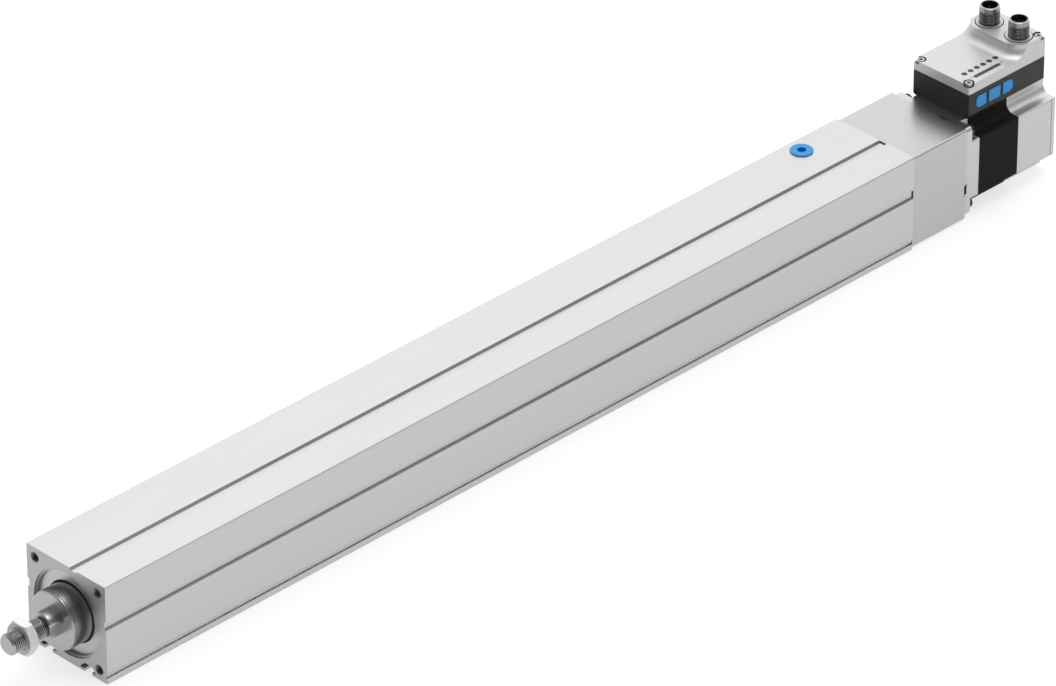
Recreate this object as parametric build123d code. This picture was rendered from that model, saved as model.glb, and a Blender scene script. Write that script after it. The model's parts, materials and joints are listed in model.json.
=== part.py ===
from build123d import *
import math
import os

# Electric cylinder: a square extruded barrel with a ball screw drive inside, a coupling
# housing, a stepper motor in line behind it and an electronics box on top of the motor.
# Millimetres. +X is the way the rod extends and +Z is up. The origin is the centre of
# the barrel's front face, on the rod axis. The rod is shown fully retracted.

# Fits and gaps
running_gap = 0.05
seat_gap = 0.04
body_gap = 0.3
end_gap = 0.5
cutter_reach = 1.0

# Stroke and barrel
stroke = 500.0
barrel_width = 60.0
barrel_edge_r = 0.5
bore_wall = 6.5
seat_step = 1.95
guide_groove_width = 8.0
guide_groove_depth = 1.5

# Slots and grooves of the extrusion
t_slot_spacing = 30.4
t_slot_opening = 5.8
t_slot_lip = 1.7
t_slot_width = 12.0
t_slot_side = 0.4
t_slot_depth = 5.3
sensor_groove_offset = 6.0
sensor_groove_opening = 5.8
sensor_groove_floor = 4.5
sensor_groove_depth = 1.3
clip_groove_top = 6.4
clip_groove_width = 1.8
clip_groove_depth = 0.7
clip_slot_width = 0.9
clip_slot_depth = 2.2

# Threaded holes in the front face
front_hole_spacing = 47.5
front_hole_r = 3.0
front_hole_depth = 16.0

# Rod bearing at the front
ring_setback = 1.2
ring_thickness = 1.3
ring_width = 2.2
ring_open_angle = 14.0
ring_open_turn = 210.0
cap_length = 23.5
cap_dish = 0.5
cap_rim = 1.15
seal_lip_gap = 1.0
seal_lip_length = 1.6
seal_section = 4.0
seal_length = 5.0
bush_wall = 1.6
bush_length = 14.0
front_buffer_thickness = 5.0
rear_buffer_thickness = 4.0
buffer_gap = 0.4

# Piston rod and its threaded end
rod_annulus = 6.5
rod_wall = 4.0
rod_reach = 8.4
rod_plug_setback = 0.35
rod_plug_thickness = 1.7
rod_plug_chamfer = 0.5
rod_plug_depth = 24.0
stub_d = 16.0
stub_length = 8.0
stub_flat_width = 13.5
stub_flat_length = 6.4
stub_chamfer = 0.8
thread_d = 12.0
thread_ease = 0.25
thread_relief_d = 10.2
thread_relief_length = 1.6
thread_length = 22.2
thread_chamfer = 1.0
nut_width = 18.0
nut_height = 6.0
nut_standoff = 7.8
nut_face_ratio = 0.97
nut_bevel_angle = 30.0

# Nut carrier, its guides and the ball screw
carrier_length = 50.0
carrier_gap = 1.0
rod_socket_depth = 11.5
magnet_length = 6.5
magnet_setback = 2.0
magnet_wall = 3.4
pad_length = 28.0
pad_setback = 13.0
pad_root = 4.5
guide_ring_length = 4.0
guide_ring_setback = 5.0
guide_ring_wall = 2.4
clamp_ring_thickness = 4.0
clamp_ring_margin = 2.5
screw_d = 16.0
screw_bore_gap = 2.0
ball_nut_wall = 6.0
support_length = 8.0
support_clip_thickness = 1.2
support_clip_wall = 1.6
screw_front_journal_d = 11.0
screw_tip_reach = 2.5

# Coupling housing and spindle bearings
gasket_thickness = 0.5
gasket_inset = 0.1
housing_step = 0.7
housing_length = 43.5
housing_edge_r = 1.2
housing_front_chamfer = 0.3
spigot_length = 24.0
bearing_od = 32.0
bearing_id = 15.0
bearing_width = 9.0
bearing_count = 2
bearing_race = 3.0
shield_thickness = 0.6
shield_inset = 0.5
bearing_clamp_thickness = 3.0
bearing_clamp_bore_gap = 1.0
screw_collar_d = 20.0
bearing_shoulder = 4.0
bearing_shoulder_r = 13.5
lock_nut_d = 24.0
lock_nut_thickness = 5.0
lock_nut_slots = 4
lock_nut_slot_width = 4.0
lock_nut_slot_depth = 1.6
screw_rear_journal_d = 10.0
pry_slot_width = 1.1
pry_slot_length = 6.9
pry_slot_depth = 2.5
pry_slot_offset = 10.5

# Jaw coupling
coupling_d = 29.0
coupling_standoff = 9.5
coupling_hub_gap = 1.5
coupling_spider_length = 8.0
coupling_jaws = 3
coupling_arm_width = 3.4
coupling_arm_gap = 0.1
coupling_core_r = 5.6
coupling_jaw_gap = 0.4

# Motor
motor_width = 56.4
motor_edge_r = 0.8
motor_notch = 9.5
motor_notch_r = 5.5
ear_thickness = 5.5
ear_corner_r = 2.5
flange_thickness = 6.3
stack_length = 32.5
rear_cap_length = 27.7
end_cover_thickness = 3.0
end_seam_width = 0.4
end_seam_depth = 0.5
pilot_d = 38.1
pilot_height = 1.6
motor_shaft_d = 8.0
motor_shaft_gap = 0.5
motor_shaft_hole_gap = 1.0
motor_bearing_od = 22.0
motor_bearing_width = 7.0
motor_bearing_setback = 0.8
motor_bearing_race = 2.0
motor_bearing_boss = 3.0
winding_cavity_r = 22.5
winding_cavity_depth = 4.0
rotor_r = 14.2
rotor_length = 28.0
rotor_seat_d = 13.0
air_gap = 0.4
pole_count = 8
pole_width = 6.0
coil_wall = 2.0
coil_gap = 0.25
coil_root = 2.0
coil_overhang = 2.6
slot_depth = 6.5
pole_shoe = 1.4
motor_screw_spacing = 47.14
motor_screw_r = 2.0
motor_screw_head_r = 3.4
motor_screw_head_height = 3.5
motor_screw_hex = 3.0
motor_screw_hex_depth = 2.0
motor_screw_grip = 12.0
motor_screw_hole_gap = 0.25
rear_web = 9.7
board_ledge = 2.0
board_ledge_depth = 7.0
encoder_board_thickness = 1.6
magnet_d = 10.0
magnet_thickness = 3.0
encoder_shaft_reach = 15.7
wire_way_width = 10.0
wire_way_length = 5.0
end_screw_across = 28.0
end_screw_up = 24.6
end_screw_r = 1.5
end_screw_head_r = 2.8
end_screw_length = 10.0
end_screw_slot = 0.8

# Electronics box
box_width = 42.6
box_setback = 9.4
box_length = 63.6
box_wall = 2.2
box_floor = 2.5
box_edge_r = 1.0
box_belly_r = 2.5
base_height = 15.7
cover_gasket_thickness = 0.3
cover_gasket_inset = 0.3
cover_gasket_width = 1.3
cover_height = 6.1
platform_height = 13.45
platform_length = 22.8
platform_corner_r = 11.0
platform_blend_r = 6.3
platform_roof = 3.0
cover_screw_inset = 3.0
cover_screw_r = 1.25
cover_screw_head_r = 2.25
cover_screw_head_height = 1.8
cover_screw_sink = 1.9
cover_screw_rear_sink = 2.2
cover_screw_well_r = 3.25
cover_boss_r = 3.5
base_boss_r = 2.6
cover_screw_grip = 9.0
cover_screw_hex = 2.0
cover_screw_hex_depth = 1.1
base_screw_r = 1.5
base_screw_head_r = 2.7
base_screw_head_height = 2.0
base_screw_grip = 6.0
base_screw_side = 9.3
base_screw_front = 6.7
base_screw_rear = 16.2

# Keys, lamps and display
key_height = 7.3
key_side_width = 8.0
key_middle_width = 9.3
key_pitch = 11.05
key_middle_setback = 21.25
key_middle_height = 8.9
key_gap = 0.15
key_proud = 0.4
key_travel = 0.3
key_lip = 0.8
key_lip_thickness = 1.0
key_round_r = 2.6
key_corner_r = 0.7
key_board_thickness = 1.6
key_board_top = 14.0
key_board_end = 44.0
dome_r = 2.4
dome_height = 0.8
dome_slack = 0.1
lamp_setback = 40.4
lamp_r = 0.75
led_count = 6
led_pitch = 5.12
led_first_setback = 8.1
led_edge = 11.1
led_r = 1.7
led_sink = 0.15
light_bar_width = 5.0
light_bar_thickness = 1.6
window_setback = 20.05
window_edge = 4.8
window_length = 21.6
window_width = 2.6
window_flange = 0.8

# Circuit boards
board_thickness = 1.6
board_lift = 2.3
board_side_gap = 1.0
board_post_r = 2.2
board_post_inset = 5.0
board_post_spacing = 27.2
capacitor_r = 4.0
capacitor_height = 8.0
capacitor_spacing = 10.4
chip_size = 9.0
chip_height = 1.4
coil_block_size = 8.0
coil_block_height = 4.5

# Plug connectors on the box
connector_side = 10.15
connector_setback = 11.0
connector_thread_d = 12.0
connector_body_d = 11.5
connector_height = 11.15
connector_bore_r = 4.55
connector_socket_depth = 7.5
connector_tail = 7.0
connector_rim_chamfer = 0.5
connector_collar_r = 7.8
connector_collar_proud = 0.3
connector_recess_gap = 0.55
connector_recess_depth = 1.5
connector_seal_thickness = 0.6
connector_nut_width = 14.0
connector_nut_height = 3.0
insert_length = 6.0
insert_foot = 1.0
pin_r = 0.5
pin_length = 5.0
power_pins = 4
power_pin_circle_r = 2.4
signal_pins = 7
signal_pin_circle_r = 2.75

# Port plug on the barrel
port_setback = 570.9
port_edge = 10.5
port_r = 4.8
port_depth = 9.0
port_vent_r = 1.5
plug_head_r = 6.7
plug_head_height = 0.8
plug_chamfer = 0.25
plug_hex = 5.0
plug_hex_depth = 3.0

# Radii worked out from the sizes above
half = barrel_width / 2
bore_r = half - bore_wall
rod_r = bore_r - rod_annulus
rod_bore_r = rod_r - rod_wall
seat_r = bore_r + seat_step
screw_r = screw_d / 2
ball_nut_r = screw_r + ball_nut_wall
carrier_r = bore_r - carrier_gap
clamp_ring_r = carrier_r - clamp_ring_margin
housing_half = half - housing_step
bearing_r = bearing_od / 2
journal_r = bearing_id / 2
screw_collar_r = screw_collar_d / 2
chamber_r = pilot_d / 2 + seat_gap
coupling_r = coupling_d / 2
motor_half = motor_width / 2
motor_shaft_r = motor_shaft_d / 2
motor_bearing_r = motor_bearing_od / 2
stator_bore_r = rotor_r + air_gap
connector_body_r = connector_body_d / 2
port_across = half - port_edge

# Stations on the rod axis, from the front face back
ring_front_x = -ring_setback
cap_front_x = ring_front_x - ring_thickness
cap_rear_x = cap_front_x - cap_length
seal_front_x = cap_front_x - cap_dish - seal_lip_length
seal_rear_x = seal_front_x - seal_length
bush_front_x = seal_rear_x - end_gap
bush_rear_x = bush_front_x - bush_length
buffer_rear_x = cap_rear_x - front_buffer_thickness
carrier_front_x = buffer_rear_x - end_gap - stroke
carrier_rear_x = carrier_front_x - carrier_length
rear_buffer_front_x = carrier_rear_x - end_gap
spigot_front_x = rear_buffer_front_x - rear_buffer_thickness
barrel_rear_x = spigot_front_x - spigot_length
rod_rear_x = carrier_front_x - rod_socket_depth
clamp_ring_front_x = carrier_rear_x + clamp_ring_thickness
nut_front_extended_x = rod_rear_x + stroke
support_rear_x = nut_front_extended_x + end_gap
support_front_x = support_rear_x + support_length
bearings_front_x = spigot_front_x - bearing_clamp_thickness
bearings_rear_x = bearings_front_x - bearing_count * bearing_width
chamber_front_x = bearings_rear_x - bearing_shoulder
lock_nut_rear_x = bearings_rear_x - lock_nut_thickness
housing_front_x = barrel_rear_x - gasket_thickness
housing_rear_x = housing_front_x - housing_length
coupling_rear_x = housing_rear_x + coupling_standoff
coupling_span = lock_nut_rear_x - coupling_hub_gap - coupling_rear_x
coupling_hub_length = (coupling_span - coupling_spider_length) / 2
motor_hub_front_x = coupling_rear_x + coupling_hub_length
screw_hub_rear_x = motor_hub_front_x + coupling_spider_length
screw_hub_front_x = screw_hub_rear_x + coupling_hub_length
ear_rear_x = housing_rear_x - ear_thickness
stack_front_x = ear_rear_x - flange_thickness
stack_rear_x = stack_front_x - stack_length
rear_cap_end_x = stack_rear_x - rear_cap_length
cover_end_x = rear_cap_end_x - end_cover_thickness
front_bearing_rear_x = stack_front_x + motor_bearing_setback
front_bearing_front_x = front_bearing_rear_x + motor_bearing_width
rear_bearing_front_x = stack_rear_x - motor_bearing_setback
rear_bearing_rear_x = rear_bearing_front_x - motor_bearing_width
rear_web_x = stack_rear_x - winding_cavity_depth - rear_web
board_ledge_x = rear_web_x - board_ledge_depth
stack_mid_x = (stack_front_x + stack_rear_x) / 2
rotor_front_x = stack_mid_x + rotor_length / 2
rotor_rear_x = stack_mid_x - rotor_length / 2
shaft_end_x = stack_rear_x - encoder_shaft_reach

# Heights and stations of the electronics box
box_half = box_width / 2
box_front_x = housing_rear_x - box_setback
box_rear_x = box_front_x - box_length
box_bottom_z = motor_half
box_floor_z = box_bottom_z + box_floor
base_top_z = box_bottom_z + base_height
cover_bottom_z = base_top_z + cover_gasket_thickness
cover_top_z = cover_bottom_z + cover_height
platform_z = cover_bottom_z + platform_height
platform_roof_z = platform_z - platform_roof
platform_front_x = box_rear_x + platform_length
connector_x = platform_front_x - connector_setback
connector_spacing = box_width - 2 * connector_side
led_across = box_half - led_edge
window_across = box_half - window_edge
connector_rim_z = platform_z + connector_height
insert_top_z = connector_rim_z - connector_socket_depth
recess_floor_z = platform_z - connector_recess_depth
board_z = box_floor_z + board_lift
key_middle_x = box_front_x - key_middle_setback
key_mid_z = box_bottom_z + key_middle_height
key_back_y = box_half - box_wall - key_gap - key_lip_thickness
key_board_y = key_back_y - key_travel - dome_slack - dome_height
cover_screw_front_x = box_front_x - cover_screw_inset
cover_screw_rear_x = box_rear_x + cover_screw_inset
cover_screw_y = box_half - cover_screw_inset

tie_end_x = barrel_rear_x + motor_screw_grip

corners = [(y, z) for y in (-1, 1) for z in (-1, 1)]


def along_x(sketch, x_from, x_to):
    """Extrude a sketch drawn in Y and Z from one station of the rod axis to another."""
    return extrude(Plane.YZ.offset(min(x_from, x_to)) * sketch, amount=abs(x_to - x_from))


def along_z(sketch, z_from, z_to):
    """Extrude a sketch drawn in X and Y from one height to another."""
    return extrude(Plane.XY.offset(min(z_from, z_to)) * sketch, amount=abs(z_to - z_from))


def towards_y(sketch, y_from, y_to):
    """Extrude a sketch drawn in X and Z from one Y to another."""
    plane = Plane(origin=(0, max(y_from, y_to), 0), x_dir=(1, 0, 0), z_dir=(0, -1, 0))
    return extrude(plane * sketch, amount=abs(y_to - y_from))


def disc(r, x_from, x_to, y=0.0, z=0.0):
    """A solid cylinder along X."""
    return along_x(Pos(y, z) * Circle(r), x_from, x_to)


def ring(r_out, r_in, x_from, x_to):
    """A ring about the rod axis."""
    return along_x(Circle(r_out) - Circle(r_in), x_from, x_to)


def post(r, x, y, z_from, z_to):
    """A solid cylinder along Z."""
    return along_z(Pos(x, y) * Circle(r), z_from, z_to)


def block(x0, x1, y0, y1, z0, z1):
    """A block between two corners."""
    middle = Pos((x0 + x1) / 2, (y0 + y1) / 2, (z0 + z1) / 2)
    return middle * Box(abs(x1 - x0), abs(y1 - y0), abs(z1 - z0))


def turned(*outline):
    """Revolve an outline of (x, radius) points about the rod axis."""
    return revolve(make_face(Polyline(*outline, close=True)), Axis.X)


def hexagon(across_flats, turn=0):
    """A hexagon with a corner on its first axis."""
    return RegularPolygon(across_flats / math.sqrt(3), 6, rotation=turn)


def only(shape):
    """The single solid of a shape."""
    return shape.solids()[0] if len(shape.solids()) == 1 else shape


def sensor_groove(centre):
    """Shallow tapered groove, drawn open towards +Y."""
    mouth = sensor_groove_opening / 2
    floor = sensor_groove_floor / 2
    bottom = half - sensor_groove_depth
    return make_face(Polyline(
        (half + cutter_reach, centre - mouth), (half, centre - mouth), (bottom, centre - floor),
        (bottom, centre + floor), (half, centre + mouth), (half + cutter_reach, centre + mouth), close=True))


def clip_groove(side):
    """Stepped groove for clip-on parts, low on a side face."""
    top = -half + clip_groove_top
    foot = top - clip_groove_width
    outside = side * (half + cutter_reach)
    step = block_sketch(side * (half - clip_groove_depth), outside, foot, top)
    slot = block_sketch(side * (half - clip_slot_depth), outside, foot - clip_slot_width, foot)
    return step + slot


def block_sketch(x0, x1, y0, y1):
    """A rectangle between two corners of a sketch."""
    return Pos((x0 + x1) / 2, (y0 + y1) / 2) * Rectangle(abs(x1 - x0), abs(y1 - y0))


def t_slot(centre):
    """Clamping slot, open at the underside: neck, undercut and sloping roof."""
    neck = t_slot_opening / 2
    wide = t_slot_width / 2
    lip = -half + t_slot_lip
    roof = -half + t_slot_depth
    roof_half = wide - (roof - lip - t_slot_side)
    side = lip + t_slot_side
    right = [(neck, -half - cutter_reach), (neck, lip), (wide, lip), (wide, side), (roof_half, roof)]
    left = [(-y, z) for y, z in reversed(right)]
    return Pos(centre, 0) * make_face(Polyline(*right, *left, close=True))


def square(width, edge_r):
    """A square with rounded corners."""
    return RectangleRounded(width, width, edge_r)


def make_barrel():
    """The extruded body with its bore, grooves, slots and threaded holes."""
    profile = square(barrel_width, barrel_edge_r) - Circle(bore_r)
    key_reach = bore_r + guide_groove_depth
    profile -= Rectangle(2 * key_reach, guide_groove_width)
    groove = sensor_groove(sensor_groove_offset)
    profile -= groove
    profile -= mirror(groove, about=Plane.YZ)
    profile -= Rot(0, 0, 90) * sensor_groove(-sensor_groove_offset)
    for side in (-1, 1):
        profile -= clip_groove(side)
        profile -= t_slot(side * t_slot_spacing / 2)
    barrel = along_x(profile, barrel_rear_x, 0)
    barrel -= disc(seat_r, cap_rear_x, 0)
    barrel -= disc(seat_r, barrel_rear_x, spigot_front_x)
    barrel -= disc(seat_r + ring_width / 2, cap_front_x, ring_front_x)
    hole = turned((0, 0), (0, front_hole_r), (-front_hole_depth, front_hole_r),
                  (-front_hole_depth - cutter_reach, 0))
    for y, z in corners:
        barrel -= Pos(0, y * front_hole_spacing / 2, z * front_hole_spacing / 2) * hole
        barrel -= tie_hole(y, z, motor_screw_r, barrel_rear_x, tie_end_x + cutter_reach)
    port = post(port_r, -port_setback, -port_across, half - port_depth, half)
    port += post(port_vent_r, -port_setback, -port_across, 0, half)
    return barrel - port


def tie_hole(y, z, r, x_from, x_to):
    """A hole for one of the long motor screws, in the corner given by two signs."""
    return disc(r, x_from, x_to, y * motor_screw_spacing / 2, z * motor_screw_spacing / 2)


def make_front_cap():
    """Turned cap in the front recess, with a dished face and a seat for the wiping seal."""
    outer = seat_r - seat_gap
    lip_x = cap_front_x - cap_dish
    bush_r = rod_r + bush_wall
    cap = ring(outer, rod_r + seal_lip_gap, cap_rear_x, cap_front_x)
    cap -= disc(seat_r - cap_rim, lip_x, cap_front_x)
    cap -= disc(rod_r + seal_section, seal_rear_x, seal_front_x)
    cap -= disc(bush_r + seat_gap, cap_rear_x, seal_rear_x)
    return cap


def make_cap_ring():
    """Open snap ring that holds the cap."""
    snap = ring(seat_r + ring_width / 2 - seat_gap, seat_r - ring_width / 2, cap_front_x, ring_front_x)
    gap_half = seat_r * math.sin(math.radians(ring_open_angle / 2))
    gap = block(cap_front_x - cutter_reach, ring_front_x + cutter_reach, 0, barrel_width, -gap_half, gap_half)
    return snap - Rot(ring_open_turn, 0, 0) * gap


def make_wiper_seal():
    """Seal in the cap, with its wiping lip round the rod."""
    inner = rod_r + running_gap
    outer = rod_r + seal_section - seat_gap
    lip_r = rod_r + seal_lip_gap - seat_gap
    return turned((seal_rear_x, inner), (seal_rear_x, outer), (seal_front_x, outer), (seal_front_x, lip_r),
                  (seal_front_x + seal_lip_length / 2, lip_r), (seal_front_x + seal_lip_length, inner))


def make_guide_bush():
    """Plain bearing of the rod in the cap."""
    return ring(rod_r + bush_wall, rod_r + running_gap, bush_rear_x, bush_front_x)


def make_end_buffers():
    """Rubber stops for the nut carrier at both ends of the stroke."""
    front = ring(bore_r - buffer_gap, rod_r + bush_wall, buffer_rear_x, cap_rear_x)
    rear_bore = screw_collar_r + bearing_clamp_bore_gap
    rear = ring(bore_r - buffer_gap, rear_bore, spigot_front_x, rear_buffer_front_x)
    return Compound([only(front), only(rear)])


def make_piston_rod():
    """Polished tube, open at both ends."""
    return ring(rod_r, rod_bore_r, rod_rear_x, rod_reach)


def make_rod_end():
    """Plug in the front of the rod, with the stub, its two flats and the threaded end."""
    plug_r = rod_r - rod_plug_setback
    plug_front = rod_reach + rod_plug_thickness
    stub_r = stub_d / 2
    stub_front = plug_front + stub_length
    relief_front = stub_front + thread_relief_length
    tip = relief_front + thread_length
    thread_r = thread_d / 2
    relief_r = thread_relief_d / 2
    spigot_r = rod_bore_r - seat_gap
    spigot_rear = rod_reach - rod_plug_depth
    under_nut_r = thread_r - thread_ease
    nut_front = relief_front + nut_standoff + nut_height
    body = turned(
        (spigot_rear, 0), (spigot_rear, spigot_r), (rod_reach, spigot_r), (rod_reach, plug_r),
        (plug_front - rod_plug_chamfer, plug_r), (plug_front, plug_r - rod_plug_chamfer),
        (plug_front, stub_r), (stub_front - stub_chamfer, stub_r), (stub_front, stub_r - stub_chamfer),
        (stub_front, relief_r), (relief_front, relief_r), (relief_front, under_nut_r),
        (nut_front, under_nut_r), (nut_front, thread_r),
        (tip - thread_chamfer, thread_r), (tip, thread_r - thread_chamfer), (tip, 0))
    for side in (-1, 1):
        body -= block(stub_front - stub_flat_length, stub_front + cutter_reach, side * stub_flat_width / 2,
                      side * stub_d, -stub_d, stub_d)
    return body


def make_rod_nut():
    """Thin hexagon nut, bevelled on both faces."""
    rear = rod_reach + rod_plug_thickness + stub_length + thread_relief_length + nut_standoff
    front = rear + nut_height
    corner_r = nut_width / math.sqrt(3)
    face_r = nut_width / 2 * nut_face_ratio
    bevel = (corner_r - face_r) * math.tan(math.radians(nut_bevel_angle))
    bore = thread_d / 2 - thread_ease + seat_gap
    mouth = bore + thread_chamfer / 2
    blank = along_x(hexagon(nut_width), rear, front)
    crown = turned((rear, 0), (rear, face_r), (rear + bevel, corner_r), (front - bevel, corner_r),
                   (front, face_r), (front, 0))
    behind = rear - cutter_reach
    ahead = front + cutter_reach
    hole = turned((behind, 0), (behind, mouth), (rear, mouth), (rear + mouth - bore, bore),
                  (front - mouth + bore, bore), (front, mouth), (ahead, mouth), (ahead, 0))
    return (blank & crown) - hole


def make_nut_carrier():
    """Piston that joins rod and ball nut, with seats for magnet, guide ring and pads."""
    body = disc(carrier_r, carrier_rear_x, carrier_front_x)
    body -= disc(rod_r + seat_gap, rod_rear_x, carrier_front_x)
    body -= disc(ball_nut_r + seat_gap, carrier_rear_x, rod_rear_x)
    body -= disc(clamp_ring_r + seat_gap, carrier_rear_x, clamp_ring_front_x)
    magnet_front = carrier_front_x - magnet_setback
    magnet_seat = ring(bore_r, carrier_r - magnet_wall, magnet_front - magnet_length, carrier_front_x)
    ring_front = carrier_rear_x + guide_ring_setback + guide_ring_length
    ring_seat = ring(bore_r, carrier_r - guide_ring_wall, ring_front - guide_ring_length, ring_front)
    body -= magnet_seat
    body -= ring_seat
    for side in (-1, 1):
        body -= guide_pad(side, seat_gap)
    return body


def guide_pad(side, grow=0.0):
    """A sliding key that keeps the carrier from turning, and its pocket when grown."""
    front = carrier_front_x - pad_setback
    rear = front - pad_length
    root = carrier_r - pad_root
    tip = bore_r + guide_groove_depth - running_gap
    tall = guide_groove_width / 2 - running_gap + grow
    return block(rear - grow, front + grow, side * (root - grow), side * (tip + grow), -tall, tall)


def make_guide_pads():
    """Pads that run in the bore's two keyways and stop the carrier from turning."""
    return Compound([guide_pad(side) for side in (-1, 1)])


def make_magnet():
    """Ring magnet for the position switches."""
    front = carrier_front_x - magnet_setback
    return ring(carrier_r, carrier_r - magnet_wall + seat_gap, front - magnet_length, front)


def make_guide_ring():
    """Ring that carries the nut carrier in the bore."""
    rear = carrier_rear_x + guide_ring_setback
    inner = carrier_r - guide_ring_wall + seat_gap
    return ring(bore_r - running_gap, inner, rear, rear + guide_ring_length)


def make_ball_nut():
    """Body of the ball nut in the carrier."""
    return ring(ball_nut_r, screw_r + running_gap, clamp_ring_front_x, rod_rear_x)


def make_clamp_ring():
    """Ring that holds the ball nut in the carrier."""
    return ring(clamp_ring_r, screw_r + screw_bore_gap, carrier_rear_x, clamp_ring_front_x)


def make_ball_screw():
    """Screw with its front journal, collar, bearing seat and rear journal."""
    front_journal_r = screw_front_journal_d / 2
    rear_journal_r = screw_rear_journal_d / 2
    tip = support_front_x + screw_tip_reach
    collar_front = spigot_front_x - end_gap
    return turned(
        (tip, 0), (tip, front_journal_r), (support_rear_x, front_journal_r), (support_rear_x, screw_r),
        (collar_front, screw_r), (collar_front, screw_collar_r), (bearings_front_x, screw_collar_r),
        (bearings_front_x, journal_r), (lock_nut_rear_x, journal_r), (lock_nut_rear_x, rear_journal_r),
        (screw_hub_rear_x + end_gap, rear_journal_r), (screw_hub_rear_x + end_gap, 0))


def make_screw_support():
    """Sleeve that steadies the screw's front end inside the rod."""
    inner = screw_front_journal_d / 2 + seat_gap
    return ring(rod_bore_r - running_gap, inner, support_rear_x, support_front_x)


def make_support_clip():
    """Clip that keeps the steady sleeve on the screw."""
    inner = screw_front_journal_d / 2 + seat_gap
    front = support_front_x + support_clip_thickness
    return ring(inner + support_clip_wall, inner, support_front_x, front)


def make_housing():
    """Square block with the bearing seat, the coupling chamber and the pry slots."""
    block_body = along_x(square(2 * housing_half, housing_edge_r), housing_rear_x, housing_front_x)
    front_edges = block_body.faces().sort_by(Axis.X)[-1].edges()
    body = chamfer(front_edges, housing_front_chamfer)
    body += disc(seat_r - seat_gap, housing_front_x - cutter_reach, spigot_front_x)
    body -= disc(bearing_r + seat_gap, bearings_rear_x, spigot_front_x)
    body -= disc(bearing_shoulder_r, chamber_front_x, bearings_rear_x)
    body -= disc(chamber_r, housing_rear_x, chamber_front_x)
    for y, z in corners:
        body -= tie_hole(y, z, motor_screw_r + motor_screw_hole_gap, housing_rear_x, housing_front_x)
    slot_end = pry_slot_offset + pry_slot_length / 2
    slot = block(housing_rear_x, housing_rear_x + pry_slot_width, housing_half - pry_slot_depth,
                 housing_half + cutter_reach, -slot_end, -slot_end + pry_slot_length)
    for turn in range(4):
        body -= Rot(90 * turn, 0, 0) * slot
    return body


def make_housing_gasket():
    """Thin joint between barrel and housing."""
    sheet = square(2 * (housing_half - gasket_inset), housing_edge_r) - Circle(seat_r)
    gasket = along_x(sheet, housing_front_x, barrel_rear_x)
    for y, z in corners:
        gasket -= tie_hole(y, z, motor_screw_r + motor_screw_hole_gap, housing_front_x, barrel_rear_x)
    return gasket


def bearing_outer(r_out, r_in, race, x_from, x_to):
    """Outer race of a sealed bearing with its two shields, clear of the inner race."""
    outer = ring(r_out, r_out - race, x_from, x_to)
    for shield_x in (x_from + shield_inset, x_to - shield_inset - shield_thickness):
        outer += ring(r_out - race, r_in + race + body_gap, shield_x, shield_x + shield_thickness)
    return outer


def bearing_inner(r_in, race, x_from, x_to):
    """Inner ring of a ball bearing, with its race."""
    return ring(r_in + race, r_in + seat_gap, x_from, x_to)


def spindle_bearing_starts():
    """Rear face of each bearing on the screw."""
    return [bearings_rear_x + i * bearing_width for i in range(bearing_count)]


def make_spindle_bearings_outer():
    """Outer rings of the bearing pair in the housing."""
    return Compound([only(bearing_outer(bearing_r, journal_r, bearing_race, x, x + bearing_width))
                     for x in spindle_bearing_starts()])


def make_spindle_bearings_inner():
    """Inner rings of the bearing pair on the screw."""
    return Compound([only(bearing_inner(journal_r, bearing_race, x, x + bearing_width))
                     for x in spindle_bearing_starts()])


def make_bearing_clamp():
    """Ring that holds the bearing pair in the housing."""
    inner = screw_collar_r + bearing_clamp_bore_gap
    return ring(bearing_r, inner, bearings_front_x, spigot_front_x)


def make_lock_nut():
    """Round slotted nut that holds the bearing pair on the screw."""
    r = lock_nut_d / 2
    nut = ring(r, journal_r + seat_gap, lock_nut_rear_x, bearings_rear_x)
    for i in range(lock_nut_slots):
        slot = block(lock_nut_rear_x, bearings_rear_x, r - lock_nut_slot_depth, r + cutter_reach,
                     -lock_nut_slot_width / 2, lock_nut_slot_width / 2)
        nut -= Rot(360 * i / lock_nut_slots, 0, 0) * slot
    return nut


def jaws(first, x_from, x_to):
    """Every second sector of the coupling, narrowed to leave room for the spider's arms."""
    sector = 180 / coupling_jaws
    reach = 2 * coupling_r
    half_turn = math.radians(sector / 2)
    wedge = make_face(Polyline((0, 0), (reach * math.cos(half_turn), -reach * math.sin(half_turn)),
                               (reach * math.cos(half_turn), reach * math.sin(half_turn)), close=True))
    tooth = (Circle(coupling_r) - Circle(coupling_core_r + coupling_jaw_gap)) & wedge
    arm_half = coupling_arm_width / 2 + coupling_arm_gap
    for side in (-1, 1):
        arm = block_sketch(0, reach, -arm_half, arm_half)
        tooth -= Rot(0, 0, side * sector / 2) * arm
    teeth = Sketch() + [Rot(0, 0, first + 2 * sector * i) * tooth for i in range(coupling_jaws)]
    return along_x(teeth, x_from, x_to)


def make_screw_hub():
    """Half of the jaw coupling on the screw."""
    bore = screw_rear_journal_d / 2 + seat_gap
    hub = ring(coupling_r, bore, screw_hub_rear_x, screw_hub_front_x)
    return hub + jaws(0, motor_hub_front_x + coupling_jaw_gap, screw_hub_rear_x)


def make_motor_hub():
    """Half of the jaw coupling on the motor shaft."""
    bore = motor_shaft_r + seat_gap
    hub = ring(coupling_r, bore, coupling_rear_x, motor_hub_front_x)
    return hub + jaws(180 / coupling_jaws, motor_hub_front_x, screw_hub_rear_x - coupling_jaw_gap)


def make_spider():
    """Elastic star between the jaws of the coupling."""
    sector = 180 / coupling_jaws
    star = Circle(coupling_core_r)
    arm = block_sketch(0, coupling_r - coupling_jaw_gap, -coupling_arm_width / 2, coupling_arm_width / 2)
    for i in range(2 * coupling_jaws):
        star += Rot(0, 0, sector / 2 + sector * i) * arm
    return along_x(star, motor_hub_front_x + coupling_jaw_gap / 2, screw_hub_rear_x - coupling_jaw_gap / 2)


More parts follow.
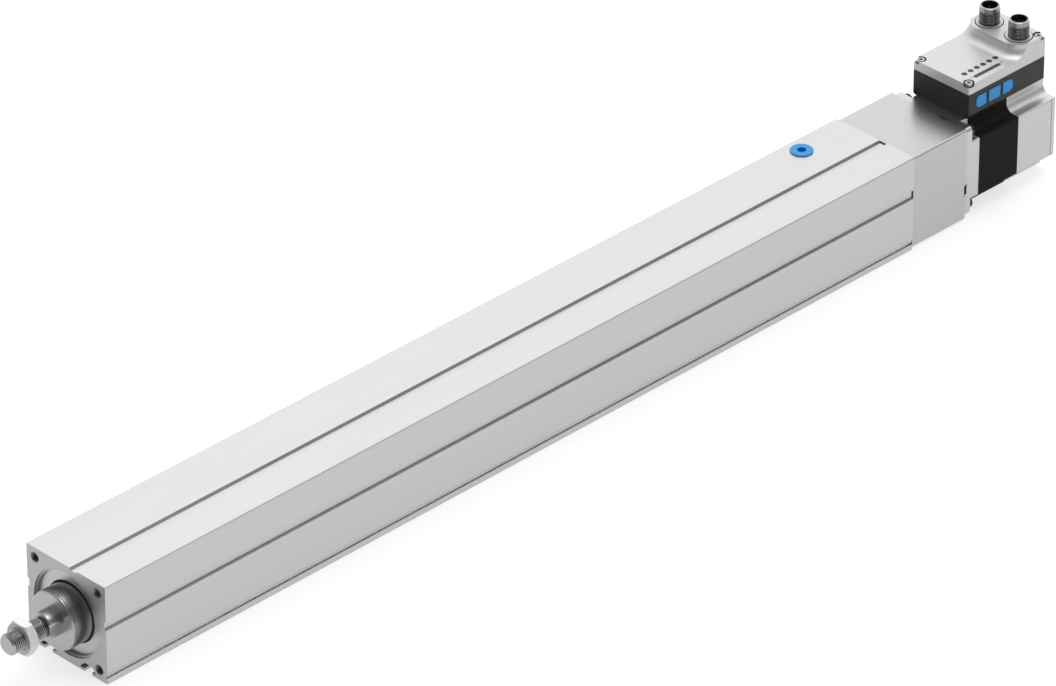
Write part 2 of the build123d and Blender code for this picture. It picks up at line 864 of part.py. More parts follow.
def notched_square():
    """Motor outline: a square with a filleted notch at each corner for the tie screws."""
    inner = motor_half - motor_notch
    outline = RectangleRounded(2 * motor_half, 2 * inner, motor_edge_r)
    outline += RectangleRounded(2 * inner, 2 * motor_half, motor_edge_r)
    centre = inner + motor_notch_r
    for y, z in corners:
        foot = inner - cutter_reach
        web = block_sketch(y * foot, y * centre, z * foot, z * centre)
        outline += web - Pos(y * centre, z * centre) * Circle(motor_notch_r)
    return outline


def make_motor_flange():
    """Front flange of the motor, with ears for the long screws."""
    body = along_x(square(motor_width, ear_corner_r), ear_rear_x, housing_rear_x)
    body += along_x(notched_square(), stack_front_x, ear_rear_x)
    body += disc(pilot_d / 2, housing_rear_x, housing_rear_x + pilot_height)
    body -= disc(motor_bearing_r + seat_gap, stack_front_x, front_bearing_front_x)
    body -= disc(motor_shaft_r + motor_shaft_hole_gap, front_bearing_front_x, housing_rear_x + pilot_height)
    boss_r = motor_bearing_r + motor_bearing_boss
    body -= ring(winding_cavity_r, boss_r, stack_front_x, stack_front_x + winding_cavity_depth)
    for y, z in corners:
        body -= tie_hole(y, z, motor_screw_r + motor_screw_hole_gap, ear_rear_x, housing_rear_x)
    return body


def make_motor_screws():
    """Long socket screws that clamp the motor and the housing to the barrel."""
    head_rear = ear_rear_x - motor_screw_head_height
    screws = []
    for y, z in corners:
        screw = disc(motor_screw_r - seat_gap, ear_rear_x, tie_end_x)
        screw += disc(motor_screw_head_r, head_rear, ear_rear_x)
        screw -= along_x(hexagon(motor_screw_hex), head_rear, head_rear + motor_screw_hex_depth)
        screws.append(only(Pos(0, y * motor_screw_spacing / 2, z * motor_screw_spacing / 2) * screw))
    return Compound(screws)


def pole_angles():
    """Turn of each pole of the stator."""
    return [360 / pole_count * (i + 0.5) for i in range(pole_count)]


def stator_slots():
    """The winding space between bore and yoke, with a pole and its shoe left standing."""
    shoe_r = stator_bore_r + pole_shoe
    slots = Circle(shoe_r + slot_depth) - Circle(shoe_r)
    pole = block_sketch(0, shoe_r + slot_depth + cutter_reach, -pole_width / 2, pole_width / 2)
    for angle in pole_angles():
        slots -= Rot(0, 0, angle) * pole
    gap = block_sketch(0, shoe_r + cutter_reach, -coil_wall / 2, coil_wall / 2)
    for angle in pole_angles():
        slots += (Rot(0, 0, angle + 180 / pole_count) * gap) - Circle(stator_bore_r - cutter_reach)
    return slots


def make_stator_stack():
    """Laminated core: notched outline, with bore and winding slots."""
    profile = notched_square() - Circle(stator_bore_r) - stator_slots()
    return along_x(profile, stack_rear_x, stack_front_x)


def make_windings():
    """A coil round each pole of the stator."""
    inner = stator_bore_r + pole_shoe + coil_gap
    outer = inner + slot_depth - coil_root
    hole_half = pole_width / 2 + coil_gap
    wide = hole_half + coil_wall
    coils = []
    for angle in pole_angles():
        coil = block(stack_rear_x - coil_overhang, stack_front_x + coil_overhang, inner, outer, -wide, wide)
        coil -= block(stack_rear_x - coil_gap, stack_front_x + coil_gap, inner - cutter_reach,
                      outer + cutter_reach, -hole_half, hole_half)
        coils.append(only(Rot(angle, 0, 0) * coil))
    return Compound(coils)


def make_rear_cap():
    """Rear housing of the motor, with the bearing seat and the sensor space."""
    body = along_x(notched_square(), rear_cap_end_x, stack_rear_x)
    boss_r = motor_bearing_r + motor_bearing_boss
    body -= ring(winding_cavity_r, boss_r, stack_rear_x - winding_cavity_depth, stack_rear_x)
    body -= disc(motor_bearing_r + seat_gap, rear_bearing_rear_x, stack_rear_x)
    body -= disc(motor_shaft_r + motor_shaft_hole_gap, rear_web_x, rear_bearing_rear_x)
    body -= disc(winding_cavity_r - board_ledge, board_ledge_x, rear_web_x)
    body -= disc(winding_cavity_r, rear_cap_end_x, board_ledge_x)
    body -= block(board_ledge_x, board_ledge_x + wire_way_length, -wire_way_width / 2, wire_way_width / 2,
                  0, motor_half)
    for y, z in corners:
        body -= disc(end_screw_r, rear_cap_end_x, rear_cap_end_x + end_screw_length, *end_screw_place(y, z))
    for x, y in base_screw_places():
        body -= post(base_screw_r, x, y, motor_half - base_screw_grip - cutter_reach, motor_half)
    return body


def end_screw_place(y, z):
    """Place of a rear cover screw in one corner."""
    return y * end_screw_across / 2, z * end_screw_up


def end_screw_head(grow=0.0):
    """The countersunk head of an end cover screw about the X axis, and its seat when grown."""
    inside = cover_end_x + end_screw_head_r - end_screw_r
    return turned((cover_end_x, 0), (cover_end_x, end_screw_head_r + grow), (inside, end_screw_r + grow),
                  (inside, 0))


def make_end_cover():
    """Rear cover, set in a little at its joint with the rear cap, which shows as a thin seam."""
    seam_x = rear_cap_end_x - end_seam_width
    inner = square(motor_width - 2 * end_seam_depth, motor_edge_r)
    body = along_x(notched_square(), cover_end_x, seam_x)
    body += along_x(notched_square() & inner, seam_x, rear_cap_end_x)
    for y, z in corners:
        place = end_screw_place(y, z)
        body -= Pos(0, *place) * end_screw_head(seat_gap)
        body -= disc(end_screw_r + seat_gap, cover_end_x, rear_cap_end_x, *place)
    return body


def make_end_screws():
    """Four slotted screws of the rear cover."""
    screws = []
    for y, z in corners:
        screw = end_screw_head()
        screw += disc(end_screw_r - seat_gap, cover_end_x + end_screw_slot, cover_end_x + end_screw_length)
        screw -= block(cover_end_x, cover_end_x + end_screw_slot, -end_screw_head_r, end_screw_head_r,
                       -end_screw_slot / 2, end_screw_slot / 2)
        screws.append(only(Pos(0, *end_screw_place(y, z)) * screw))
    return Compound(screws)


def make_motor_bearings_outer():
    """Outer rings of the motor's two bearings."""
    spans = [(front_bearing_rear_x, front_bearing_front_x), (rear_bearing_rear_x, rear_bearing_front_x)]
    return Compound([only(bearing_outer(motor_bearing_r, motor_shaft_r, motor_bearing_race, a, b))
                     for a, b in spans])


def make_motor_bearings_inner():
    """Inner rings of the motor's two bearings."""
    spans = [(front_bearing_rear_x, front_bearing_front_x), (rear_bearing_rear_x, rear_bearing_front_x)]
    return Compound([only(bearing_inner(motor_shaft_r, motor_bearing_race, a, b)) for a, b in spans])


def make_motor_shaft():
    """Motor shaft, stepped up between its bearings to seat the rotor."""
    front = motor_hub_front_x - motor_shaft_gap
    seat = rotor_seat_d / 2
    return turned((front, 0), (front, motor_shaft_r), (front_bearing_rear_x, motor_shaft_r),
                  (front_bearing_rear_x, seat), (rear_bearing_front_x, seat),
                  (rear_bearing_front_x, motor_shaft_r), (shaft_end_x, motor_shaft_r), (shaft_end_x, 0))


def make_rotor():
    """Magnet ring on the motor shaft."""
    return ring(rotor_r, rotor_seat_d / 2 + seat_gap, rotor_rear_x, rotor_front_x)


def make_encoder_magnet():
    """Small magnet on the rear end of the motor shaft."""
    return disc(magnet_d / 2, shaft_end_x - magnet_thickness, shaft_end_x)


def make_encoder_board():
    """Round board that reads the turning magnet."""
    return disc(winding_cavity_r - seat_gap, board_ledge_x - encoder_board_thickness, board_ledge_x)


def box_outline(inset=0.0):
    """Outline of the electronics box seen from above, drawn in by an inset."""
    middle = Pos((box_front_x + box_rear_x) / 2, 0)
    return middle * RectangleRounded(box_length - 2 * inset, box_width - 2 * inset, box_edge_r)


def cover_screw_places():
    """Place and sink of each cover screw, front pair first."""
    rows = [(cover_screw_front_x, cover_top_z - cover_screw_sink),
            (cover_screw_rear_x, platform_z - cover_screw_rear_sink)]
    return [(x, side * cover_screw_y, seat) for x, seat in rows for side in (-1, 1)]


def screw_well(x, y):
    """Outline of the well over a cover screw: round, and open at the corner of the cover."""
    reach = cover_screw_inset + cutter_reach
    ahead = 1 if x > (box_front_x + box_rear_x) / 2 else -1
    aside = 1 if y > 0 else -1
    well = Pos(x, y) * Circle(cover_screw_well_r)
    return well + Pos(x + ahead * reach / 2, y + aside * reach / 2) * Rectangle(reach, reach)


def base_screw_places():
    """Place of each screw that holds the box on the motor."""
    return [(stack_rear_x - setback, side * (box_half - base_screw_side))
            for setback in (base_screw_front, base_screw_rear) for side in (-1, 1)]


def key_outline(x, width, rounded_side, grow=0.0):
    """A key seen from its side of the box, with one end rounded for the outer keys."""
    key = RectangleRounded(width + 2 * grow, key_height + 2 * grow, key_corner_r + grow)
    if rounded_side:
        r = key_round_r + grow
        full = RectangleRounded(width + 2 * grow, key_height + 2 * grow, r)
        inner_half = block_sketch(0, -rounded_side * width, -key_height, key_height)
        key = full + (key & inner_half)
    return Pos(x, key_mid_z) * key


def keys():
    """Name, centre, width and rounded side of each key, from the front back."""
    return [("key_front", key_middle_x + key_pitch, key_side_width, 1),
            ("key_middle", key_middle_x, key_middle_width, 0),
            ("key_rear", key_middle_x - key_pitch, key_side_width, -1)]


def make_key(x, width, rounded_side):
    """Key cap in its window, with a lip behind it."""
    wall_inside = box_half - box_wall
    lip_front = wall_inside - key_gap
    cap = towards_y(key_outline(x, width, rounded_side), box_half + key_proud, lip_front - key_lip_thickness)
    lip = block(x - width / 2, x + width / 2, lip_front - key_lip_thickness, lip_front,
                key_mid_z - key_height / 2 - key_lip, key_mid_z + key_height / 2 + key_lip)
    return cap + lip


def make_base():
    """Lower half of the box: an open tray with bosses, posts and key windows."""
    section = block_sketch(-box_half, box_half, box_bottom_z, base_top_z)
    section = fillet(section.vertices().group_by(Axis.Y)[0], box_belly_r)
    body = along_z(box_outline(), box_bottom_z, base_top_z) & along_x(section, box_rear_x, box_front_x)
    body -= along_z(box_outline(box_wall), box_floor_z, base_top_z)
    for x, y, _ in cover_screw_places():
        body += post(base_boss_r, x, y, box_floor_z - cutter_reach, base_top_z)
    for x, y in board_post_places():
        body += post(board_post_r, x, y, box_floor_z - cutter_reach, board_z)
    for x, y, _ in cover_screw_places():
        body -= post(cover_screw_r, x, y, base_top_z - cover_screw_grip - cutter_reach, base_top_z)
    for x, y in base_screw_places():
        body -= post(base_screw_r + seat_gap, x, y, box_bottom_z, box_floor_z)
    body -= block(board_ledge_x, board_ledge_x + wire_way_length, -wire_way_width / 2, wire_way_width / 2,
                  box_bottom_z, box_floor_z)
    for _, x, width, rounded_side in keys():
        window = key_outline(x, width, rounded_side, key_gap)
        body -= towards_y(window, box_half + cutter_reach, box_half - box_wall)
    lamp_x = box_front_x - lamp_setback
    body -= towards_y(Pos(lamp_x, key_mid_z) * Circle(lamp_r + seat_gap), box_half, box_half - box_wall)
    return body


def board_span():
    """Low and high X and Y of the drive board."""
    low_x = box_rear_x + box_wall + board_side_gap
    high_x = box_front_x - box_wall - board_side_gap
    low_y = -box_half + box_wall + board_side_gap
    high_y = key_board_y - key_board_thickness - board_side_gap
    return low_x, high_x, low_y, high_y


def board_post_places():
    """Place of each post under the drive board."""
    _, high_x, low_y, high_y = board_span()
    front = high_x - board_post_inset
    return [(x, y) for x in (front - board_post_spacing, front)
            for y in (low_y + board_post_inset, high_y - board_post_inset)]


def make_drive_board():
    """Drive board, cut clear of the screw bosses, with its parts on it."""
    low_x, high_x, low_y, high_y = board_span()
    board = block(low_x, high_x, low_y, high_y, board_z, board_z + board_thickness)
    for x, y, _ in cover_screw_places():
        board -= post(base_boss_r + body_gap, x, y, board_z, board_z + board_thickness)
    return board + board_components()


def board_components():
    """Two capacitors, a processor and a coil block standing on the drive board."""
    low_x, high_x, low_y, high_y = board_span()
    top = board_z + board_thickness
    mid_y = (low_y + high_y) / 2
    third = (high_x - low_x) / 3
    pieces = [post(capacitor_r, low_x + third, mid_y + side * capacitor_spacing / 2, top,
                   top + capacitor_height) for side in (-1, 1)]
    chip_x = high_x - third
    pieces.append(pad_block(chip_x, mid_y, chip_size, top, chip_height))
    block_x = (chip_x + low_x + third) / 2
    pieces.append(pad_block(block_x, mid_y, coil_block_size, top, coil_block_height))
    return pieces


def pad_block(x, y, size, foot, height):
    """A square block standing on a board."""
    return along_z(Pos(x, y) * Rectangle(size, size), foot, foot + height)


def make_key_board():
    """Upright board behind the keys, with a dome switch under each."""
    front = key_middle_x + key_pitch + key_side_width / 2
    board = block(box_front_x - key_board_end, front, key_board_y - key_board_thickness, key_board_y,
                  box_floor_z, box_bottom_z + key_board_top)
    for _, x, _, _ in keys():
        board += towards_y(Pos(x, key_mid_z) * Circle(dome_r), key_board_y + dome_height, key_board_y)
    return board


def status_lamp():
    """Short light guide through the side wall, behind the keys."""
    lamp_x = box_front_x - lamp_setback
    return towards_y(Pos(lamp_x, key_mid_z) * Circle(lamp_r), box_half, key_board_y)


def platform_outline(inset=0.0):
    """Raised part of the cover seen from above: its front corners run round the connectors."""
    wide = connector_spacing + 2 * platform_corner_r - 2 * inset
    long = 2 * box_length
    middle = Pos(platform_front_x - inset - long / 2, 0)
    return middle * RectangleRounded(long, wide, platform_corner_r - inset)


def make_cover():
    """Upper half of the box: shell, raised rear with a smooth rise, wells and openings."""
    margin = 2 * platform_corner_r
    blank_rear = box_rear_x - margin
    blank_half = box_half + margin
    slab = block(blank_rear, box_front_x, -blank_half, blank_half, cover_bottom_z, cover_top_z)
    room = block(blank_rear, box_front_x, -blank_half, blank_half, cover_bottom_z, platform_z)
    raised = slab + (along_z(platform_outline(), cover_bottom_z, platform_z) & room)
    level = [edge for edge in raised.edges() if abs(edge.center().Z - cover_top_z) < running_gap]
    foot = [edge for edge in level if abs(edge.center().Y) < blank_half - margin / 2
            and blank_rear + cutter_reach < edge.center().X < box_front_x - cutter_reach]
    raised = fillet(foot, platform_blend_r)
    body = raised & along_z(box_outline(), cover_bottom_z, platform_z)
    body -= along_z(box_outline(box_wall), cover_bottom_z, cover_top_z - box_wall)
    hollow = along_z(platform_outline(box_wall), cover_top_z - box_wall - cutter_reach, platform_roof_z)
    body -= hollow & along_z(box_outline(box_wall), cover_bottom_z, platform_z)
    for x, y, seat in cover_screw_places():
        boss = post(cover_boss_r, x, y, cover_bottom_z, seat)
        body += boss & along_z(box_outline(), cover_bottom_z, platform_z)
        body -= post(cover_screw_r + seat_gap, x, y, cover_bottom_z, seat)
        body -= along_z(screw_well(x, y), seat, platform_z + cutter_reach)
    for x, y in connector_places():
        body -= post(connector_body_r + seat_gap, x, y, platform_roof_z, platform_z)
        body -= post(connector_collar_r + connector_recess_gap, x, y, recess_floor_z, platform_z)
    for x, y in led_places():
        body -= post(led_r + seat_gap, x, y, cover_top_z - box_wall, cover_top_z)
    body -= along_z(window_outline(seat_gap), cover_top_z - box_wall, cover_top_z)
    return body


def connector_places():
    """Axis of each plug socket."""
    return [(connector_x, side * connector_spacing / 2) for side in (-1, 1)]


def led_places():
    """Place of each lamp in the row."""
    return [(box_front_x - led_first_setback - led_pitch * i, led_across) for i in range(led_count)]


def window_outline(grow=0.0):
    """Outline of the display window."""
    middle = Pos(box_front_x - window_setback, window_across)
    return middle * SlotOverall(window_length + 2 * grow, window_width + 2 * grow)


def make_cover_gasket():
    """Thin seal between base and cover."""
    inset = cover_gasket_inset
    rim = box_outline(inset) - box_outline(inset + cover_gasket_width)
    return along_z(rim, base_top_z, cover_bottom_z)


def make_cover_screws():
    """Four socket head screws of the cover."""
    screws = []
    for x, y, seat in cover_screw_places():
        screw = post(cover_screw_r - seat_gap, x, y, base_top_z - cover_screw_grip, seat)
        screw += post(cover_screw_head_r, x, y, seat, seat + cover_screw_head_height)
        top = seat + cover_screw_head_height
        screw -= along_z(Pos(x, y) * hexagon(cover_screw_hex), top - cover_screw_hex_depth, top)
        screws.append(only(screw))
    return Compound(screws)


def make_base_screws():
    """Screws that hold the box on the motor."""
    screws = []
    for x, y in base_screw_places():
        screw = post(base_screw_r - seat_gap, x, y, motor_half - base_screw_grip, box_floor_z)
        screw += post(base_screw_head_r, x, y, box_floor_z, box_floor_z + base_screw_head_height)
        screws.append(only(screw))
    return Compound(screws)


def make_light_guides():
    """Bar of lamps under the cover, and the small lamp beside the keys."""
    ceiling = cover_top_z - box_wall
    last = led_first_setback + led_pitch * (led_count - 1)
    margin = light_bar_width / 2
    bar = block(box_front_x - last - margin, box_front_x - led_first_setback + margin,
                led_across - light_bar_width / 2, led_across + light_bar_width / 2,
                ceiling - light_bar_thickness, ceiling)
    for x, y in led_places():
        bar += post(led_r, x, y, ceiling - light_bar_thickness, cover_top_z - led_sink)
    return Compound([only(bar), only(status_lamp())])


def make_window():
    """Window pane with a flange behind the cover."""
    ceiling = cover_top_z - box_wall
    pane = along_z(window_outline(), ceiling - light_bar_thickness, cover_top_z - led_sink)
    flange = along_z(window_outline(window_flange), ceiling - light_bar_thickness, ceiling)
    return pane + flange


def make_connector_shell(y):
    """Shell of a plug socket: threaded above its collar, slimmer below."""
    r = connector_thread_d / 2
    low = recess_floor_z - connector_tail
    collar_top = platform_z + connector_collar_proud
    shell = post(r, connector_x, y, collar_top, connector_rim_z)
    rim_edges = shell.faces().sort_by(Axis.Z)[-1].edges()
    shell = chamfer(rim_edges, connector_rim_chamfer)
    shell += post(connector_body_r, connector_x, y, low, collar_top)
    shell -= post(connector_bore_r, connector_x, y, insert_top_z - insert_length, connector_rim_z)
    shell -= post(connector_bore_r - insert_foot, connector_x, y, low, insert_top_z)
    return shell


def make_connector_collars():
    """Collar round each plug socket, flush in the cover's recess."""
    collars = []
    for x, y in connector_places():
        collar = Pos(x, y) * (Circle(connector_collar_r) - Circle(connector_body_r + seat_gap))
        collars.append(only(along_z(collar, recess_floor_z, platform_z + connector_collar_proud)))
    return Compound(collars)


def make_connector_seals():
    """Seal in the gap round each collar."""
    seals = []
    for x, y in connector_places():
        outer = connector_collar_r + connector_recess_gap - seat_gap
        seal = Pos(x, y) * (Circle(outer) - Circle(connector_collar_r + seat_gap))
        seals.append(only(along_z(seal, recess_floor_z, recess_floor_z + connector_seal_thickness)))
    return Compound(seals)


def make_connector_nuts():
    """Nut that holds each plug socket from below."""
    nuts = []
    for x, y in connector_places():
        nut = Pos(x, y) * (hexagon(connector_nut_width) - Circle(connector_body_r + seat_gap))
        nuts.append(only(along_z(nut, platform_roof_z - connector_nut_height, platform_roof_z)))
    return Compound(nuts)


def make_connector_inserts():
    """Insulating insert of each plug socket."""
    inserts = []
    for x, y in connector_places():
        insert = post(connector_bore_r - seat_gap, x, y, insert_top_z - insert_length, insert_top_z)
        for px, py in pin_places(x, y):
            insert -= post(pin_r + seat_gap, px, py, insert_top_z - insert_length, insert_top_z)
        inserts.append(only(insert))
    return Compound(inserts)


def pin_places(x, y):
    """Contacts of one connector: a circle of them, with one more in the middle of the signal plug."""
    power = y < 0
    count = power_pins if power else signal_pins
    r = power_pin_circle_r if power else signal_pin_circle_r
    turns = [2 * math.pi * (i + 0.5) / count for i in range(count)]
    places = [(x + r * math.cos(turn), y + r * math.sin(turn)) for turn in turns]
    return places if power else places + [(x, y)]


def make_connector_pins():
    """Contacts of both plug sockets."""
    pins = []
    for x, y in connector_places():
        for px, py in pin_places(x, y):
            pins.append(only(post(pin_r, px, py, insert_top_z - insert_length, insert_top_z + pin_length)))
    return Compound(pins)


def make_port_plug():
    """Plug of the air port, with a round head and a hexagon socket."""
    x = -port_setback
    y = -port_across
    stem = post(port_r - seat_gap, x, y, half - port_depth + end_gap, half)
    head = post(plug_head_r, x, y, half, half + plug_head_height)
    head = chamfer(head.faces().sort_by(Axis.Z)[-1].edges(), plug_chamfer)
    top = half + plug_head_height
    return stem + head - along_z(Pos(x, y) * hexagon(plug_hex), top - plug_hex_depth, top)


parts = {
    "barrel": make_barrel(),
    "front_bearing_cap": make_front_cap(),
    "cap_retaining_ring": make_cap_ring(),
    "rod_wiper_seal": make_wiper_seal(),
    "rod_guide_bush": make_guide_bush(),
    "end_buffers": make_end_buffers(),
    "port_plug": make_port_plug(),
    "piston_rod": make_piston_rod(),
    "rod_end": make_rod_end(),
    "rod_nut": make_rod_nut(),
    "nut_carrier": make_nut_carrier(),
    "guide_pads": make_guide_pads(),
    "guide_ring": make_guide_ring(),
    "piston_magnet": make_magnet(),
    "ball_nut": make_ball_nut(),
    "ball_nut_clamp_ring": make_clamp_ring(),
    "ball_screw": make_ball_screw(),
    "screw_support": make_screw_support(),
    "screw_support_clip": make_support_clip(),
    "coupling_housing": make_housing(),
    "housing_gasket": make_housing_gasket(),
    "spindle_bearings_outer": make_spindle_bearings_outer(),
    "spindle_bearings_inner": make_spindle_bearings_inner(),
    "bearing_clamp_ring": make_bearing_clamp(),
    "spindle_lock_nut": make_lock_nut(),
    "coupling_hub_screw": make_screw_hub(),
    "coupling_spider": make_spider(),
    "coupling_hub_motor": make_motor_hub(),
    "motor_flange": make_motor_flange(),
    "motor_screws": make_motor_screws(),
    "stator_stack": make_stator_stack(),
    "stator_windings": make_windings(),
    "motor_rear_cap": make_rear_cap(),
    "motor_end_cover": make_end_cover(),
    "end_cover_screws": make_end_screws(),
    "motor_bearings_outer": make_motor_bearings_outer(),
    "motor_bearings_inner": make_motor_bearings_inner(),
    "motor_shaft": make_motor_shaft(),
    "motor_rotor": make_rotor(),
    "encoder_magnet": make_encoder_magnet(),
    "encoder_board": make_encoder_board(),
    "electronics_base": make_base(),
    "base_screws": make_base_screws(),
    "drive_board": make_drive_board(),
    "key_board": make_key_board(),
    "cover_gasket": make_cover_gasket(),
    "electronics_cover": make_cover(),
    "cover_screws": make_cover_screws(),
    "light_guides": make_light_guides(),
    "display_window": make_window(),
    "power_connector_shell": make_connector_shell(-connector_spacing / 2),
    "signal_connector_shell": make_connector_shell(connector_spacing / 2),
    "connector_collars": make_connector_collars(),
    "connector_seals": make_connector_seals(),
    "connector_nuts": make_connector_nuts(),
    "connector_inserts": make_connector_inserts(),
    "connector_pins": make_connector_pins(),
}
for key_name, key_x, key_width, key_side in keys():
    parts[key_name] = make_key(key_x, key_width, key_side)

os.makedirs("parts", exist_ok=True)
for name, shape in parts.items():
    export_step(shape, f"parts/{name}.step")
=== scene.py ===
import json
import math

import bmesh
import bpy
from bpy.props import FloatProperty, FloatVectorProperty, IntProperty, PointerProperty
from mathutils import Matrix, Vector


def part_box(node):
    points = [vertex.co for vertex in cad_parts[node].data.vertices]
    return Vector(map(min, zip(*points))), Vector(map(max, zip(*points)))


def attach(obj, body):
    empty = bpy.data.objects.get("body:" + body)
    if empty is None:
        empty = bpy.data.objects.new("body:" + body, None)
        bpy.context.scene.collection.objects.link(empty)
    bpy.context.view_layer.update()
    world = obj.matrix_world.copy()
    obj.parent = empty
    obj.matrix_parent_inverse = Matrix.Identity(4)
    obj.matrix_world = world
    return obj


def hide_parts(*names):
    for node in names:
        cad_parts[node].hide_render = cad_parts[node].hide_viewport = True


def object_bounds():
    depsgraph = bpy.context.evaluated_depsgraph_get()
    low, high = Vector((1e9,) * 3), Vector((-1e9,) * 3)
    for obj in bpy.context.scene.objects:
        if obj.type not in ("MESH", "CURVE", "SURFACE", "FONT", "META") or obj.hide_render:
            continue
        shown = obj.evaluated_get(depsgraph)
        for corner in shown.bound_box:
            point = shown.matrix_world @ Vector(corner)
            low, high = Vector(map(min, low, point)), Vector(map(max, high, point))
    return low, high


bl_info = {
    "name": "Electric cylinder dressing",
    "version": (1, 0, 0),
    "blender": (4, 5, 0),
    "location": "3D View > Sidebar > Cylinder",
    "description": "Finishes and threads for an extruded electric cylinder with a motor behind it",
    "category": "Object",
}

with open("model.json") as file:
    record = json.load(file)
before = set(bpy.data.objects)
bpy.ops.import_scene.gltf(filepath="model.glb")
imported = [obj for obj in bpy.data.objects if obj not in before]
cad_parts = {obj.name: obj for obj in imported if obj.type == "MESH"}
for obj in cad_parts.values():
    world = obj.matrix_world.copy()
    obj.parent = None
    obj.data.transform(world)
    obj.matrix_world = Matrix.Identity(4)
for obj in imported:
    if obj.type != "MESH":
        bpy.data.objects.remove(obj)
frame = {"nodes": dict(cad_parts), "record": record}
cad_low, cad_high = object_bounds()
nodes = frame["nodes"]
record = frame["record"]
body_of_node = {node: body for body, members in record["behaviour"]["bodies"].items() for node in members}
slot_of_node = {entry["node"]: entry["material_slot"] for entry in record["subparts"]}

MM = 0.001
WHITE = (1.0, 1.0, 1.0, 1.0)
DULL = {"Specular IOR Level": 0.04}
SATIN = {"Specular IOR Level": 0.3}
SMOOTH_ANGLE = math.radians(35)
SKIN = 0.02 * MM
WELD_DISTANCE = 1e-7
MIX_FACTOR, MIX_FIRST, MIX_SECOND, MIX_RESULT = 0, 6, 7, 2


def length(title, words, default):
    """A size in the panel, given in millimetres."""
    return FloatProperty(name=title, description=words, default=default * MM, unit="LENGTH",
                         subtype="DISTANCE", precision=5)


def tone(title, words, default):
    """A colour in the panel."""
    return FloatVectorProperty(name=title, description=words, default=default, size=3, min=0, max=1,
                               subtype="COLOR")


def turn_angle(title, words, degrees):
    """An angle in the panel, given in degrees."""
    return FloatProperty(name=title, description=words, default=math.radians(degrees), subtype="ANGLE")


class ToneSettings(bpy.types.PropertyGroup):
    """Colours of the finishes."""

    extrusion: tone("Extrusion", "Natural anodised barrel", (0.535, 0.535, 0.538))
    block: tone("Housing", "Anodised coupling housing", (0.458, 0.458, 0.460))
    casting: tone("Motor castings", "Flange and rear cap of the motor", (0.53, 0.53, 0.53))
    core: tone("Motor core", "Black finish on the stacked plates", (0.009, 0.009, 0.009))
    cover: tone("Cover", "Coating of the electronics cover", (0.535, 0.535, 0.535))
    base: tone("Base", "Moulded lower half of the box", (0.016, 0.016, 0.017))
    blue: tone("Keys", "Keys and port plug", (0.013, 0.235, 0.56))
    steel: tone("Rod", "Polished rod", (0.40, 0.40, 0.40))
    zinc: tone("Nut", "Bright zinc on the hexagon nut", (0.71, 0.71, 0.71))
    nickel: tone("Sockets", "Dark nickel on the plug sockets", (0.14, 0.14, 0.14))


class DetailSettings(bpy.types.PropertyGroup):
    """Sizes of the details that the solids leave plain."""

    rod_pitch: length("Rod thread pitch", "Pitch of the thread on the rod end", 1.25)
    rod_depth: length("Rod thread depth", "Depth of the thread on the rod end", 0.72)
    socket_pitch: length("Socket thread pitch", "Pitch of the thread on the plug sockets", 1.0)
    socket_depth: length("Socket thread depth", "Depth of the thread on the plug sockets", 0.55)
    hole_pitch: length("Front hole pitch", "Pitch of the threads in the front face", 1.0)
    hole_depth: length("Front hole thread depth", "Depth of the threads in the front face", 0.54)
    hole_spacing: length("Front hole spacing", "Distance between the holes of the front face", 47.5)
    track_lead: length("Ball track lead", "Lead of the ball screw", 12.0)
    track_depth: length("Ball track depth", "Depth of the ball track", 1.1)
    segments: IntProperty(name="Segments", description="Points round a thread", default=96, min=24, max=256)


class StageSettings(bpy.types.PropertyGroup):
    """Floor, light and camera."""

    floor: tone("Floor", "Plain pale floor", (0.28, 0.28, 0.28))
    floor_glow: FloatProperty(name="Floor glow", description="The floor's own light, which thins the shadows",
                              default=0.72)
    world: FloatProperty(name="Sky", description="Strength of the even light from all round", default=0.22)
    glow: FloatProperty(name="Backdrop", description="Strength of the bright side behind the cylinder",
                        default=1.45)
    focal: FloatProperty(name="Lens", description="Focal length of the camera", default=290.36, unit="CAMERA")
    azimuth: turn_angle("Azimuth", "Camera's place round the cylinder", 135.08)
    elevation: turn_angle("Elevation", "Camera's height above the horizon", 32.07)


class Wire:
    """A shader socket that takes part in Python sums."""

    def __init__(self, maker, socket):
        self.maker = maker
        self.socket = socket

    def reckon(self, operation, other=0.0, swapped=False):
        """The Math node of this socket and another value."""
        pair = (other, self) if swapped else (self, other)
        return self.maker.node("ShaderNodeMath", {"operation": operation}, {0: pair[0], 1: pair[1]})

    def __add__(self, other):
        return self.reckon("ADD", other)

    def __radd__(self, other):
        return self.reckon("ADD", other, True)

    def __sub__(self, other):
        return self.reckon("SUBTRACT", other)

    def __rsub__(self, other):
        return self.reckon("SUBTRACT", other, True)

    def __mul__(self, other):
        return self.reckon("MULTIPLY", other)

    def __rmul__(self, other):
        return self.reckon("MULTIPLY", other, True)

    def __pow__(self, other):
        return self.reckon("POWER", other)

    def __abs__(self):
        return self.reckon("ABSOLUTE")

    def sign(self):
        """-1 where this is negative, 0 at 0, 1 where it is positive."""
        return self.reckon("SIGN")

    def above(self, limit):
        """1 where this is over the limit, else 0."""
        return self.reckon("GREATER_THAN", limit)

    def between(self, low, high):
        """1 between two limits, else 0."""
        return self.above(low) * (1.0 - self.above(high))

    def rising(self, low, high):
        """0 below the first limit, 1 above the second, and a straight line from one to the other."""
        return self.maker.node("ShaderNodeMapRange", None, {"Value": self, "From Min": low, "From Max": high})


def diagonal(first, second):
    """Length of the diagonal of two distances at right angles."""
    return (first * first + second * second) ** 0.5


def spot(first, second, radius):
    """1 where two distances at right angles end inside a circle, else 0."""
    return 1.0 - (first * first + second * second).above(radius ** 2)


